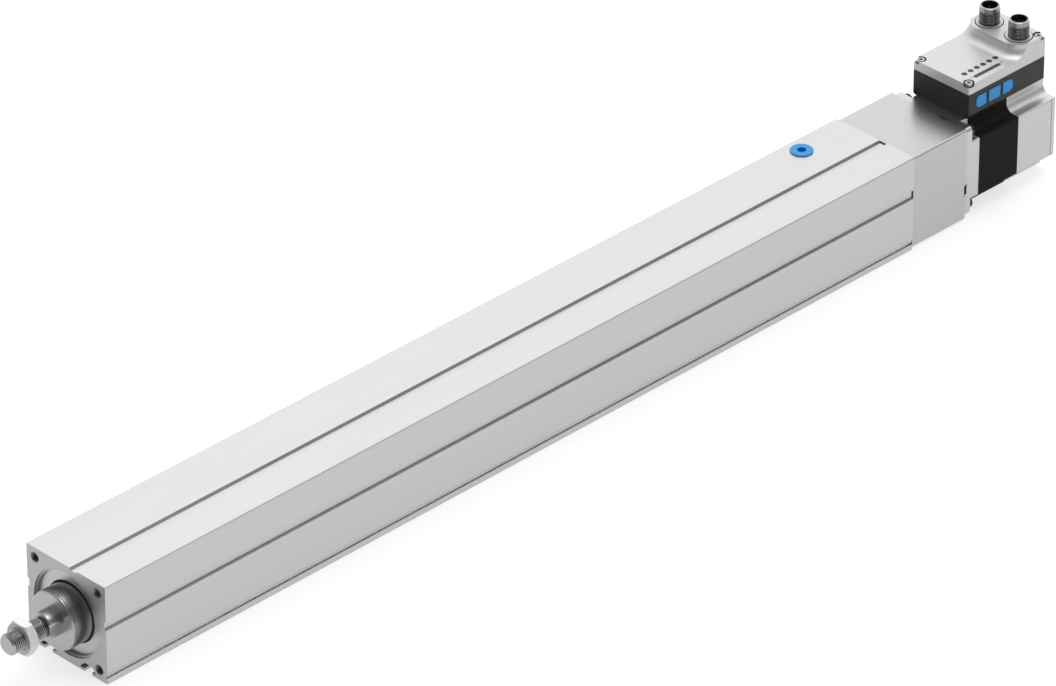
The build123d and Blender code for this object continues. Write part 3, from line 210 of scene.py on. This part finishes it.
class Tree:
    """Shader nodes under construction."""

    def __init__(self, tree):
        self.tree = tree

    def put(self, socket, value):
        """Link a wire into a socket, or write a plain value there."""
        if isinstance(value, Wire):
            self.tree.links.new(value.socket, socket)
        else:
            socket.default_value = value

    def node(self, kind, settings=None, inputs=None, out=0):
        """Any node: its type, its settings, then the values or links of its sockets."""
        made = self.tree.nodes.new(kind)
        for key, value in (settings or {}).items():
            setattr(made, key, value)
        for key, value in (inputs or {}).items():
            self.put(made.inputs[key], value)
        return Wire(self, made.outputs[out])


class Paint(Tree):
    """A material under construction, with one principled shader."""

    def __init__(self, name, colour, roughness, metallic=0.0, constants=None):
        self.material = bpy.data.materials.new(name)
        self.material.use_nodes = True
        super().__init__(self.material.node_tree)
        self.tree.nodes.clear()
        self.shader = self.tree.nodes.new("ShaderNodeBsdfPrincipled")
        output = self.tree.nodes.new("ShaderNodeOutputMaterial")
        self.tree.links.new(self.shader.outputs[0], output.inputs[0])
        self.colour = (*colour, 1.0)
        self.material.diffuse_color = self.colour
        self.set("Base Color", self.colour)
        self.set("Roughness", roughness)
        self.set("Metallic", metallic)
        for socket, value in (constants or {}).items():
            self.set(socket, value)
        self.place = self.node("ShaderNodeTexCoord", out="Object")

    def set(self, socket, value):
        """Feed one socket of the principled shader."""
        self.put(self.shader.inputs[socket], value)

    def axes(self):
        """The three coordinates of the object: along the rod, across and up."""
        first = self.node("ShaderNodeSeparateXYZ", None, {"Vector": self.place})
        return [Wire(self, socket) for socket in first.socket.node.outputs]

    def round_x(self):
        """Distance from the rod axis."""
        _, across, up = self.axes()
        return diagonal(across, up)

    def noise(self, scale, detail=2.0, roughness=0.5):
        """Noise from -0.5 to 0.5 with its own scale along each axis, per metre."""
        stretched = self.node("ShaderNodeMapping", None, {"Vector": self.place, "Scale": scale})
        return self.node("ShaderNodeTexNoise", None, {"Vector": stretched, "Scale": 1.0, "Detail": detail,
                                                      "Roughness": roughness}) - 0.5

    def grain(self, scale):
        """Even fine noise from -0.5 to 0.5."""
        return self.noise((scale, scale, scale), 2.0, 0.6)

    def cloud(self):
        """Wide soft patches from -0.5 to 0.5."""
        return self.noise((60, 60, 60))

    def turning(self, rings):
        """Marks of a lathe, so many per metre outward and along the rod axis, from -1 to 1."""
        outward = self.node("ShaderNodeTexNoise", {"noise_dimensions": "1D"},
                            {"W": self.round_x() * rings, "Detail": 2.0, "Scale": 1.0}) - 0.5
        return outward + self.noise((rings, 30, 30), 1.0)

    def layers(self, pitch):
        """From 0 to 1 and back along the rod axis, a pitch each way."""
        along, _, _ = self.axes()
        return (along * (1 / pitch)).reckon("PINGPONG", 1.0)

    def tint(self, amount):
        """The base colour made lighter and darker by a signed amount."""
        factor = amount + 1.0
        grey = self.node("ShaderNodeCombineColor", None, {"Red": factor, "Green": factor, "Blue": factor})
        shade = self.node("ShaderNodeMix", {"data_type": "RGBA", "blend_type": "MULTIPLY"},
                          {MIX_FACTOR: 1.0, MIX_FIRST: self.colour, MIX_SECOND: grey}, MIX_RESULT)
        self.set("Base Color", shade)

    def bump(self, height, distance, strength):
        """Relief of the surface: a height times a distance in metres."""
        self.set("Normal", self.node("ShaderNodeBump", None,
                                     {"Strength": strength, "Distance": distance, "Height": height}))


def extruded_metal(name, colour, roughness, hole_spacing):
    """The barrel: lines from drawing along it, cutter marks from milling on the front face with painted shade
    over that face, painted shade in its grooves, along its corners and clip edges, in its front recess and
    holes, and painted light in its clip slots.
    """
    paint = Paint(name, colour, roughness, 1.0)
    broad = paint.noise((6, 420, 420), 3.0)
    fine = paint.noise((24, 1700, 1700))
    streak = broad * 0.7 + fine
    cutter_marks = paint.noise((10, 90, 2600))
    along, across, up = paint.axes()
    width = abs(across)
    height = abs(up)
    outer = width.reckon("MAXIMUM", height)
    inner = width.reckon("MINIMUM", height)
    # the front face: cutter marks from milling, and painted shade that darkens the whole face
    milled_and_shaded = along.above(-SKIN)

    # painted shade on the walls and floors of the grooves, where shadow falls
    groove_bottom = 28.6 * MM
    groove_wall = 28.76 * MM
    groove_mouth = 29.99 * MM
    groove_middle = 6.0 * MM
    groove_shade = (1.75 * MM, 2.92 * MM)
    on_side = width.above(groove_bottom)
    on_top = up.above(groove_bottom)
    in_shade = abs(inner - groove_middle).between(*groove_shade)
    wall = outer.between(groove_wall, groove_mouth) * in_shade
    floor = outer.between(groove_bottom, groove_wall) * in_shade
    groove = on_side * (wall * 0.6 + floor * 0.5) + on_top * (wall * 0.32 + floor * 0.66)

    # painted shade along the upper edge of each clip groove, and painted light in the clip slot below it
    clip_edge_height = (-24.1 * MM, -23.4 * MM)
    clip_slot_width = (27.5 * MM, 29.3 * MM)
    clip_slot_height = (-26.35 * MM, -25.35 * MM)
    clip_edge_painted_shade = on_side * up.between(*clip_edge_height)
    clip_slot_painted_light = width.between(*clip_slot_width) * up.between(*clip_slot_height)
    # painted shade along the rounded corners
    corner_start = 29.45 * MM
    corner = inner.above(corner_start)
    # painted shade in the front recess round the rod
    recess_radius = 25.7 * MM
    recess_depth = 1.15 * MM
    recess = (1.0 - paint.round_x().above(recess_radius)) * along.between(-recess_depth, -SKIN)
    # painted shade in the four front holes
    hole_radius = 3.03 * MM
    hole_bottom = -17.0 * MM
    hole_side = hole_spacing / 2
    holes = spot(width - hole_side, height - hole_side, hole_radius) * along.above(hole_bottom)

    # lines from drawing, with the painted shade and painted light of the grooves, corners, clip edges, clip
    # slots and recess
    lines_and_painted_shade = streak * 0.13 - groove - corner * 0.3 - clip_edge_painted_shade * 0.5 + clip_slot_painted_light * 0.6 - recess * 0.45
    paint.tint(lines_and_painted_shade * (1.0 - milled_and_shaded) + milled_and_shaded * (cutter_marks * 0.12 - 0.22) - holes * 0.62)
    paint.set("Roughness", streak * 0.16 + roughness)
    paint.bump(fine, 0.02 * MM, 0.35)
    return paint.material


def block_metal(name, colour, roughness):
    """The coupling housing: satin, with a thin line at the joint and another behind its front band."""
    paint = Paint(name, colour, roughness, 1.0)
    grain = paint.noise((800, 120, 800))
    along, _, _ = paint.axes()
    joint_front = -610.5 * MM
    joint_rear = -610.95 * MM
    line_front = -611.8 * MM
    line_rear = -612.2 * MM
    lines = along.between(joint_rear, joint_front) + along.between(line_rear, line_front)
    band = along.between(line_front, joint_rear)
    paint.tint(grain * 0.03 - lines * 0.16 + band * 0.08)
    paint.set("Roughness", grain * 0.06 + roughness)
    paint.bump(grain, 0.01 * MM, 0.2)
    return paint.material


def rod_metal(name, colour, roughness):
    """The rod and its end: turned rings, and painted shade in the roots of the thread."""
    paint = Paint(name, colour, roughness, 1.0)
    streak = paint.turning(2600)
    along, _, _ = paint.axes()
    root_radius = 5.3 * MM
    crest_radius = 5.92 * MM
    thread_start = 18.2 * MM
    thread_end = 40.9 * MM
    thread = along.between(thread_start, thread_end)
    # painted shade in the roots of the thread
    root = (1.0 - paint.round_x().rising(root_radius, crest_radius)) * thread
    paint.tint(streak * 0.012 - root * 0.72)
    paint.set("Roughness", streak * 0.02 + roughness)
    paint.bump(streak, 0.004 * MM, 0.12)
    return paint.material


def nut_metal(name, colour, roughness):
    """Bright zinc with a fine grain, and painted shade over the front face."""
    paint = Paint(name, colour, roughness, 1.0)
    fine = paint.grain(900)
    along, _, _ = paint.axes()
    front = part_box("rod_nut")[1].x
    face_depth = 0.1 * MM
    # painted shade over the front face of the nut
    face = along.above(front - face_depth)
    paint.tint(paint.cloud() * 0.04 + fine * 0.04 - face * 0.3)
    paint.set("Roughness", fine * 0.12 + roughness)
    paint.bump(fine, 0.01 * MM, 0.5)
    return paint.material


def socket_metal(name, colour, roughness):
    """The plug sockets: painted shade in the roots of the thread, a lighter band and a painted highlight on
    the rim at the top, and pale collars.
    """
    paint = Paint(name, colour, roughness, 1.0)
    fine = paint.grain(1200)
    along, across, up = paint.axes()
    middle_x = -715.2 * MM
    middle_y = 11.15 * MM
    reach = diagonal(along - middle_x, abs(across) - middle_y)
    collar_radius = 6.2 * MM
    wall_radius = 5.1 * MM
    band_foot = 65.4 * MM
    lip_foot = 68.4 * MM
    collar = reach.above(collar_radius)
    outside = reach.above(wall_radius)
    band = up.above(band_foot) * outside * (1.0 - collar)
    # painted highlight on the rim at the top of each socket
    lip_highlight = up.above(lip_foot) * outside
    root_radius = 5.5 * MM
    crest_radius = 5.95 * MM
    # painted shade in the roots of the thread
    root = (1.0 - reach.rising(root_radius, crest_radius)) * outside * (1.0 - band)
    paint.tint(fine * 0.06 + collar * 3.0 + band * 1.1 + lip_highlight * 1.6 - root * 0.42)
    paint.set("Roughness", fine * 0.1 + collar * 0.3 + roughness)
    return paint.material


def cover_coat(name, colour, roughness):
    """Satin coat of the cover: painted shade in the screw wells, the rest of the last lamp, a mark at each
    window end.
    """
    paint = Paint(name, colour, roughness, 0.55, SATIN)
    fine = paint.grain(1800)
    along, across, up = paint.axes()
    window_middle = -683.45 * MM
    mark_reach = 12.4 * MM
    mark_side = 16.0 * MM
    mark_radius = 0.6 * MM
    lamp_x = -697.1 * MM
    lamp_side = 10.2 * MM
    lamp_radius = 1.78 * MM
    top_start = 49.8 * MM
    marks = spot(abs(along - window_middle) - mark_reach, across - mark_side, mark_radius)
    last_lamp = spot(along - lamp_x, across - lamp_side, lamp_radius)
    on_top = up.above(top_start)

    cover_middle = -695.2 * MM
    well_reach = 28.8 * MM
    well_side = 18.3 * MM
    well_radius = 3.28 * MM
    rise_start = -700.0 * MM
    front_well = (48.35 * MM, 50.25 * MM)
    rear_well = (55.4 * MM, 57.6 * MM)
    # painted shade in the screw wells round the heads
    well_painted_shade = spot(abs(along - cover_middle) - well_reach, abs(across) - well_side, well_radius)
    front = along.above(rise_start)
    sunk = front * up.between(*front_well) + (1.0 - front) * up.between(*rear_well)
    paint.tint(paint.cloud() * 0.03 + fine * 0.03 - (marks + last_lamp) * on_top * 0.9 - well_painted_shade * sunk * 0.82)
    paint.set("Roughness", fine * 0.09 + roughness)
    paint.bump(fine, 0.03 * MM, 0.5)
    return paint.material


def turned_metal(name, colour, roughness, dark_from=0.0, dark_to=0.0, darkening=0.0):
    """Turned metal: fine rings about the rod axis, and painted shade between two radii."""
    paint = Paint(name, colour, roughness, 1.0)
    streak = paint.turning(2200)
    # painted shade between two radii
    paint.tint(streak * 0.05 - paint.round_x().between(dark_from, dark_to) * darkening)
    paint.set("Roughness", streak * 0.1 + roughness)
    paint.bump(streak, 0.01 * MM, 0.3)
    return paint.material


def grained(name, colour, roughness, metallic=0.0, scale=2600, depth=0.04 * MM, strength=0.04,
            constants=None):
    """Coated, cast or moulded surface with an even fine grain."""
    paint = Paint(name, colour, roughness, metallic, constants)
    fine = paint.grain(scale)
    paint.tint(paint.cloud() * strength + fine * strength)
    paint.set("Roughness", fine * (strength * 3) + roughness)
    paint.bump(fine, depth, 0.5)
    return paint.material


def motor_casting(name, colour, roughness):
    """Castings of the motor: a smoother flange, and painted shade in place of the pry slot behind the housing
    on each side.
    """
    paint = Paint(name, colour, roughness, 1.0)
    along, across, up = paint.axes()
    outside = 28.05 * MM
    slot_start = 7.1 * MM
    slot_end = 13.9 * MM
    side = abs(across).above(outside) * (up * across.sign()).between(-slot_end, -slot_start)
    roof = abs(up).above(outside) * (across * up.sign()).between(slot_start, slot_end)
    slot_rear = -656.1 * MM
    slot_front = -653.9 * MM
    # painted shade in place of the pry slot, weaker on top and bottom
    slot = (side + roof * 0.6) * along.between(slot_rear, slot_front)
    flange_rear = -663.45 * MM
    flange = along.above(flange_rear)
    grain = paint.grain(1400) * (1.0 - flange * 0.9)
    paint.tint(paint.cloud() * 0.05 + grain * 0.05 - flange * 0.03 - slot * 0.95)
    paint.set("Roughness", grain * 0.15 - flange * 0.14 + roughness)
    paint.bump(grain, 0.03 * MM, 0.5)
    return paint.material


def laminated(name, colour, roughness):
    """Edges of stacked plates under black paint."""
    paint = Paint(name, colour, roughness, 0.0, DULL)
    plate_thickness = 0.5 * MM
    edge = paint.noise((1600, 90, 90))
    paint.tint(edge * 0.5)
    paint.set("Roughness", edge * 0.2 + roughness)
    paint.bump(paint.layers(plate_thickness) + edge, 0.05 * MM, 0.4)
    return paint.material


def coiled_wire(name, colour, roughness):
    """Enamelled wire laid side by side."""
    paint = Paint(name, colour, roughness, 0.8, {"Coat Weight": 0.6})
    wire_thickness = 0.7 * MM
    wave = paint.layers(wire_thickness)
    paint.tint((wave - 0.5) * 0.4)
    paint.bump(wave, 0.2 * MM, 0.6)
    return paint.material


def make_materials(tones, details):
    """Every slot of the record with its finish."""
    made = {}

    def finish(slot, maker, colour, roughness, **more):
        """Make the material of one slot."""
        made[slot] = maker(slot, colour, roughness, **more)

    def grey(shade):
        """A colour with three equal parts."""
        return (shade, shade, shade)

    glass = {"scale": 400, "depth": 0.01 * MM, "constants": SATIN}
    finish("anodised_extrusion", extruded_metal, tones.extrusion, 0.40, hole_spacing=details.hole_spacing)
    finish("anodised_block", block_metal, tones.block, 0.29)
    # painted shade in the gaps round the snap ring, on the cap and on the ring
    finish("bright_cap", turned_metal, grey(0.50), 0.38,
           dark_from=23.9 * MM, dark_to=24.35 * MM, darkening=0.3)
    finish("spring_steel", turned_metal, grey(0.42), 0.42,
           dark_from=24.2 * MM, dark_to=24.42 * MM, darkening=0.45)
    finish("black_rubber", grained, grey(0.012), 0.62, depth=0.03 * MM)
    finish("bush_bronze", turned_metal, (0.50, 0.36, 0.18), 0.35)
    finish("key_blue", grained, tones.blue, 0.38,
           scale=3500, depth=0.02 * MM, strength=0.03, constants=SATIN)
    finish("polished_rod", rod_metal, tones.steel, 0.27)
    finish("zinc_steel", nut_metal, tones.zinc, 0.62)
    finish("carrier_aluminium", turned_metal, (0.68, 0.68, 0.69), 0.32)
    finish("guide_plastic", grained, grey(0.05), 0.42)
    finish("magnet_plastic", grained, grey(0.03), 0.55)
    finish("ground_steel", turned_metal, (0.52, 0.52, 0.53), 0.22)
    finish("black_steel", grained, grey(0.018), 0.38, metallic=0.6, scale=1500, depth=0.01 * MM)
    finish("coupling_aluminium", turned_metal, (0.66, 0.66, 0.67), 0.30)
    finish("spider_red", grained, (0.40, 0.02, 0.015), 0.45)
    finish("cast_aluminium", motor_casting, tones.casting, 0.42)
    finish("core_steel", laminated, tones.core, 0.42)
    finish("winding_copper", coiled_wire, (0.55, 0.20, 0.08), 0.35)
    finish("magnet_nickel", grained, (0.55, 0.55, 0.54), 0.22, metallic=1.0)
    finish("board_green", grained, (0.01, 0.09, 0.03), 0.40, scale=800, constants={"Coat Weight": 0.3})
    finish("base_black", grained, tones.base, 0.46, scale=2200, depth=0.05 * MM, constants=SATIN)
    finish("cover_grey", cover_coat, tones.cover, 0.38)
    finish("cover_screw_steel", turned_metal, grey(0.40), 0.36)
    finish("lamp_dark", grained, (0.03, 0.032, 0.035), 0.35, **glass)
    finish("window_dark", grained, (0.03, 0.032, 0.035), 0.3, **glass)
    finish("connector_nickel", socket_metal, tones.nickel, 0.30)
    finish("insert_black", grained, grey(0.015), 0.5)
    # the pins are painted much darker than gold: painted shade for pins deep in their sockets
    finish("pin_gold", grained, (0.19, 0.17, 0.13), 0.35, metallic=1.0)
    return made


def new_piece(name, mesh, like):
    """A smooth-shaded piece with the body, slot and finish of a node."""
    piece = bpy.data.objects.new(name, mesh)
    bpy.context.scene.collection.objects.link(piece)
    mesh.shade_smooth()
    mesh.set_sharp_from_angle(angle=SMOOTH_ANGLE)
    mesh.materials.append(nodes[like].data.materials[0])
    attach(piece, body_of_node[like])
    return piece


def thread_height(phase):
    """Depth of a thread from its crest, 0 to 1, for a phase from 0 to 1: flat crest, flanks, flat root."""
    away = abs(phase - 0.5) * 2
    crest, root = 0.14, 0.86
    return min(1.0, max(0.0, (away - crest) / (root - crest)))


def track_height(phase):
    """Depth of a ball track, 0 to 1, for a phase from 0 to 1: a round groove between broad lands."""
    away = abs(phase - 0.5) * 2
    share = 0.34
    return math.sqrt(max(0.0, 1.0 - (away / share) ** 2))


def thread_rows(start, end, radius, depth, pitch, run_out, profile=thread_height, rows_per_turn=12):
    """Rows of a threaded stretch: each is a station and a function from the turn to a radius."""
    steps = max(2, round((end - start) / (pitch / rows_per_turn)))
    rows = []
    for step in range(steps + 1):
        station = start + (end - start) * step / steps
        near = min(station - start, end - station)
        fade = min(1.0, near / run_out)

        def radius_at(turn, station=station, fade=fade):
            phase = (station / pitch - turn) % 1.0
            return radius - depth * fade * profile(phase)

        rows.append((station, radius_at))
    return rows


def lathe_mesh(name, rows, segments, to_frame, closed_loop=False):
    """A skin through rows: a station, its radius or function of the turn, and the half-width of any flats."""
    mesh = bmesh.new()
    rings = []
    for station, radius, *flats in rows:
        ring = []
        for index in range(segments):
            turn = index / segments
            reach = radius(turn) if callable(radius) else radius
            u = reach * math.cos(2 * math.pi * turn)
            v = reach * math.sin(2 * math.pi * turn)
            for flat in flats:
                u = max(-flat, min(flat, u))
            ring.append(mesh.verts.new(to_frame(station, u, v)))
        rings.append(ring)
    pairs = list(zip(rings, rings[1:]))
    if closed_loop:
        pairs.append((rings[-1], rings[0]))
    for lower, upper in pairs:
        for index in range(segments):
            after = (index + 1) % segments
            mesh.faces.new((lower[index], lower[after], upper[after], upper[index]))
    if not closed_loop:
        mesh.faces.new(rings[0][::-1])
        mesh.faces.new(rings[-1])
    bmesh.ops.remove_doubles(mesh, verts=mesh.verts, dist=WELD_DISTANCE)
    bmesh.ops.recalc_face_normals(mesh, faces=mesh.faces)
    made = bpy.data.meshes.new(name)
    mesh.to_mesh(made)
    mesh.free()
    return made


def on_rod_axis(station, u, v):
    """A place on a piece that lies along the rod axis."""
    return (station, u, v)


class CYL_OT_finishes(bpy.types.Operator):
    """Give every node of the cylinder its finish"""

    bl_idname = "cylinder.finishes"
    bl_label = "Finishes"

    def execute(self, context):
        materials = make_materials(context.scene.cylinder_tones, context.scene.cylinder_details)
        for name in nodes:
            slots = nodes[name].data.materials
            slots.clear()
            slots.append(materials[slot_of_node[name]])
        return {"FINISHED"}


class CYL_OT_rod_end(bpy.types.Operator):
    """Cut the thread on the rod end"""

    bl_idname = "cylinder.rod_end"
    bl_label = "Rod end thread"

    def execute(self, context):
        details = context.scene.cylinder_details
        low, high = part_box("rod_end")
        nut_low, nut_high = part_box("rod_nut")
        spigot = 12.96 * MM
        plug = 16.65 * MM
        plug_rear = 8.4 * MM
        plug_face = 10.1 * MM
        stub = 8.0 * MM
        stub_end = 18.1 * MM
        flat = 6.75 * MM
        flat_start = 11.7 * MM
        relief_end = 19.7 * MM
        thread = 6.0 * MM
        relief = thread - details.rod_depth
        under_nut = 5.7 * MM
        edge = 0.5 * MM
        chamfer = 0.8 * MM
        tip_chamfer = 1.0 * MM
        cut = (thread, details.rod_depth, details.rod_pitch, edge)
        rows = [
            (low.x, spigot), (plug_rear, spigot), (plug_rear, plug), (plug_face - edge, plug),
            (plug_face, plug - edge), (plug_face, stub), (flat_start, stub), (flat_start, stub, flat),
            (stub_end - chamfer, stub, flat), (stub_end, stub - chamfer, flat), (stub_end, relief),
            (relief_end - edge, relief)]
        rows += thread_rows(relief_end, nut_low.x, *cut)
        rows += [(nut_low.x, under_nut), (nut_high.x - edge, under_nut)]
        rows += thread_rows(nut_high.x - edge / 3, high.x - tip_chamfer, *cut)
        rows.append((high.x, thread - tip_chamfer))
        mesh = lathe_mesh("rod_end_threaded", rows, details.segments, on_rod_axis)
        piece = new_piece("rod_end_threaded", mesh, "rod_end")
        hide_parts("rod_end")
        return {"FINISHED"}


class CYL_OT_front_holes(bpy.types.Operator):
    """Cut the threads in the four holes of the front face"""

    bl_idname = "cylinder.front_holes"
    bl_label = "Front hole threads"

    def execute(self, context):
        details = context.scene.cylinder_details
        radius = 2.99 * MM
        wall = 0.005 * MM
        back = radius + wall
        core = radius - details.hole_depth
        depth = 15.8 * MM
        lead_in = 0.55 * MM
        offset = details.hole_spacing / 2
        rows = [(-depth, core)]
        rows += thread_rows(-depth, -lead_in, radius, details.hole_depth, details.hole_pitch, lead_in)
        rows += [(-lead_in, core), (-SKIN, radius), (-SKIN, back), (-depth, back)]
        for index, (side, rise) in enumerate(((-1, -1), (-1, 1), (1, -1), (1, 1))):

            def in_corner(station, u, v, side=side, rise=rise):
                return (station, side * offset + u, rise * offset + v)

            name = f"front_hole_thread_{index + 1}"
            mesh = lathe_mesh(name, rows, details.segments // 2, in_corner, closed_loop=True)
            new_piece(name, mesh, "barrel")
        return {"FINISHED"}


class CYL_OT_ball_screw(bpy.types.Operator):
    """Cut the ball track in the screw"""

    bl_idname = "cylinder.ball_screw"
    bl_label = "Ball screw track"

    def execute(self, context):
        details = context.scene.cylinder_details
        low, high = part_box("ball_screw")
        radius = 8.0 * MM
        seat = 7.5 * MM
        rear_journal = 5.0 * MM
        front_journal = 5.5 * MM
        lock_nut = -612.0 * MM
        seat_front = -589.0 * MM
        collar = 10.0 * MM
        collar_front = -586.5 * MM
        shoulder = -42.5 * MM
        land = 3.0 * MM
        tip_chamfer = 0.5 * MM
        rows = [(low.x, rear_journal), (lock_nut, rear_journal), (lock_nut, seat), (seat_front, seat),
                (seat_front, collar), (collar_front, collar), (collar_front, radius)]
        rows += thread_rows(collar_front + land, shoulder - land, radius, details.track_depth,
                            details.track_lead, land, track_height, rows_per_turn=16)
        rows += [(shoulder, radius), (shoulder, front_journal), (high.x - tip_chamfer, front_journal),
                 (high.x, front_journal - tip_chamfer)]
        mesh = lathe_mesh("ball_screw_tracked", rows, details.segments // 3, on_rod_axis)
        piece = new_piece("ball_screw_tracked", mesh, "ball_screw")
        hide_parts("ball_screw")
        return {"FINISHED"}


class CYL_OT_sockets(bpy.types.Operator):
    """Cut the threads on the two plug sockets"""

    bl_idname = "cylinder.sockets"
    bl_label = "Plug socket threads"

    def execute(self, context):
        details = context.scene.cylinder_details
        body = 5.74 * MM
        band = 5.85 * MM
        bore = 4.55 * MM
        tail_bore = 3.55 * MM
        chamfer = 0.5 * MM
        thread_lead_in = 0.3 * MM
        band_depth = 2.9 * MM
        neck_depth = 10.35 * MM
        insert_depth = 13.5 * MM
        for name in ("power_connector_shell", "signal_connector_shell"):
            low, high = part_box(name)
            middle = (low + high) / 2
            radius = (high.x - low.x) / 2
            undercut = radius - details.socket_depth
            neck = high.z - neck_depth
            thread_end = high.z - band_depth
            insert_foot = high.z - insert_depth
            rows = [(low.z, tail_bore), (low.z, body), (neck, body), (neck, undercut)]
            rows += thread_rows(neck + thread_lead_in, thread_end, radius, details.socket_depth,
                                details.socket_pitch, chamfer)
            rows += [(thread_end, band), (high.z - chamfer, band), (high.z, band - chamfer), (high.z, bore),
                     (insert_foot, bore), (insert_foot, tail_bore)]

            def upright(station, u, v, middle=middle):
                return (middle.x + u, middle.y + v, station)

            socket = name.replace("_shell", "_socket")
            mesh = lathe_mesh(socket, rows, details.segments, upright, closed_loop=True)
            piece = new_piece(socket, mesh, name)
            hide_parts(name)
        return {"FINISHED"}


class CYL_OT_stage(bpy.types.Operator):
    """Set up the floor, the lights and the camera"""

    bl_idname = "cylinder.stage"
    bl_label = "Floor, light and camera"

    def execute(self, context):
        stage = context.scene.cylinder_stage
        self.lay_floor(context.scene, stage)
        self.light(context.scene, stage)
        self.place_camera(context.scene, stage)
        context.scene.view_settings.view_transform = "Standard"
        context.scene.view_settings.exposure = 0.0
        return {"FINISHED"}

    def lay_floor(self, scene, stage):
        """A wide floor just under the cylinder."""
        reach = 6.0
        gap = 0.2 * MM
        level = cad_low.z - gap
        corners = [(x * reach, y * reach, level) for x, y in ((-1, -1), (1, -1), (1, 1), (-1, 1))]
        mesh = bpy.data.meshes.new("floor")
        mesh.from_pydata(corners, [], [(0, 1, 2, 3)])
        floor = bpy.data.objects.new("floor", mesh)
        scene.collection.objects.link(floor)
        paint = Paint("floor_pale", stage.floor, 0.8, 0.0,
                      {"Emission Color": WHITE, "Emission Strength": stage.floor_glow})
        paint.tint(paint.noise((1.5, 1.5, 1.5)) * 0.01)
        mesh.materials.append(paint.material)

    def light(self, scene, stage):
        """A sky with one bright side, a light above and a weak one beside the keys."""
        bright_way = (-0.6, -0.6, 0.53)
        dim_until = -0.1
        full_from = 0.95
        world = bpy.data.worlds.new("studio")
        world.use_nodes = True
        sky = Tree(world.node_tree)
        way = sky.node("ShaderNodeTexCoord", out="Generated")
        facing = sky.node("ShaderNodeVectorMath", {"operation": "DOT_PRODUCT"}, {0: way, 1: bright_way},
                          out="Value")
        strength = sky.node("ShaderNodeMapRange", {"interpolation_type": "SMOOTHSTEP"},
                            {"Value": facing, "From Min": dim_until, "From Max": full_from,
                             "To Min": stage.world, "To Max": stage.glow})
        background = world.node_tree.nodes["Background"]
        sky.put(background.inputs["Color"], WHITE)
        sky.put(background.inputs["Strength"], strength)
        scene.world = world

        target = Vector((-0.33, 0.0, 0.0))
        for name, place, size, power in (
                ("top_light", (-0.5, 0.2, 2.6), 2.4, 38.0),
                ("side_light", (-0.9, 2.6, 1.4), 1.8, 10.0)):
            lamp = bpy.data.lights.new(name, "AREA")
            lamp.shape = "SQUARE"
            lamp.size = size
            lamp.energy = power
            light = bpy.data.objects.new(name, lamp)
            light.location = place
            light.rotation_mode = "QUATERNION"
            light.rotation_quaternion = (target - Vector(place)).to_track_quat("-Z", "Y")
            scene.collection.objects.link(light)

    def place_camera(self, scene, stage):
        """A long lens far from the cylinder, turned towards its middle."""
        aim = Vector((-0.33988, -0.003416, 0.013147))
        distance = 4.6
        azimuth = stage.azimuth
        slant = math.cos(stage.elevation)
        back = Vector((math.sin(azimuth) * slant, -math.cos(azimuth) * slant, math.sin(stage.elevation)))
        right = Vector((math.cos(azimuth), math.sin(azimuth), 0.0))
        turned = Matrix((right, back.cross(right), back)).transposed().to_4x4()
        data = bpy.data.cameras.new("photo_camera")
        data.sensor_width = 36.0
        data.lens = stage.focal
        data.clip_end = 50.0
        data.dof.use_dof = False
        camera = bpy.data.objects.new("photo_camera", data)
        camera.matrix_world = Matrix.Translation(aim + back * distance) @ turned
        scene.collection.objects.link(camera)
        scene.camera = camera


class CYL_PT_panel(bpy.types.Panel):
    """The steps that dress the cylinder, in order."""

    bl_idname = "CYL_PT_panel"
    bl_label = "Electric cylinder"
    bl_space_type = "VIEW_3D"
    bl_region_type = "UI"
    bl_category = "Cylinder"

    def draw(self, context):
        for step in STEPS:
            self.layout.operator(step.bl_idname)
        scene = context.scene
        for group in (scene.cylinder_tones, scene.cylinder_details, scene.cylinder_stage):
            box = self.layout.box()
            for key in group.__annotations__:
                box.prop(group, key)


STEPS = (CYL_OT_finishes, CYL_OT_rod_end, CYL_OT_front_holes, CYL_OT_ball_screw, CYL_OT_sockets, CYL_OT_stage)
CLASSES = (ToneSettings, DetailSettings, StageSettings, *STEPS, CYL_PT_panel)


def register():
    """Register the classes and hang the settings on the scene."""
    for group in CLASSES:
        bpy.utils.register_class(group)
    bpy.types.Scene.cylinder_tones = PointerProperty(type=ToneSettings)
    bpy.types.Scene.cylinder_details = PointerProperty(type=DetailSettings)
    bpy.types.Scene.cylinder_stage = PointerProperty(type=StageSettings)


def unregister():
    """Take the settings off the scene and unregister the classes."""
    del bpy.types.Scene.cylinder_tones
    del bpy.types.Scene.cylinder_details
    del bpy.types.Scene.cylinder_stage
    for group in reversed(CLASSES):
        bpy.utils.unregister_class(group)


def main():
    """Run every step in order."""
    register()
    for step in STEPS:
        group, _, action = step.bl_idname.partition(".")
        getattr(getattr(bpy.ops, group), action)()


if __name__ == "__main__":
    main()
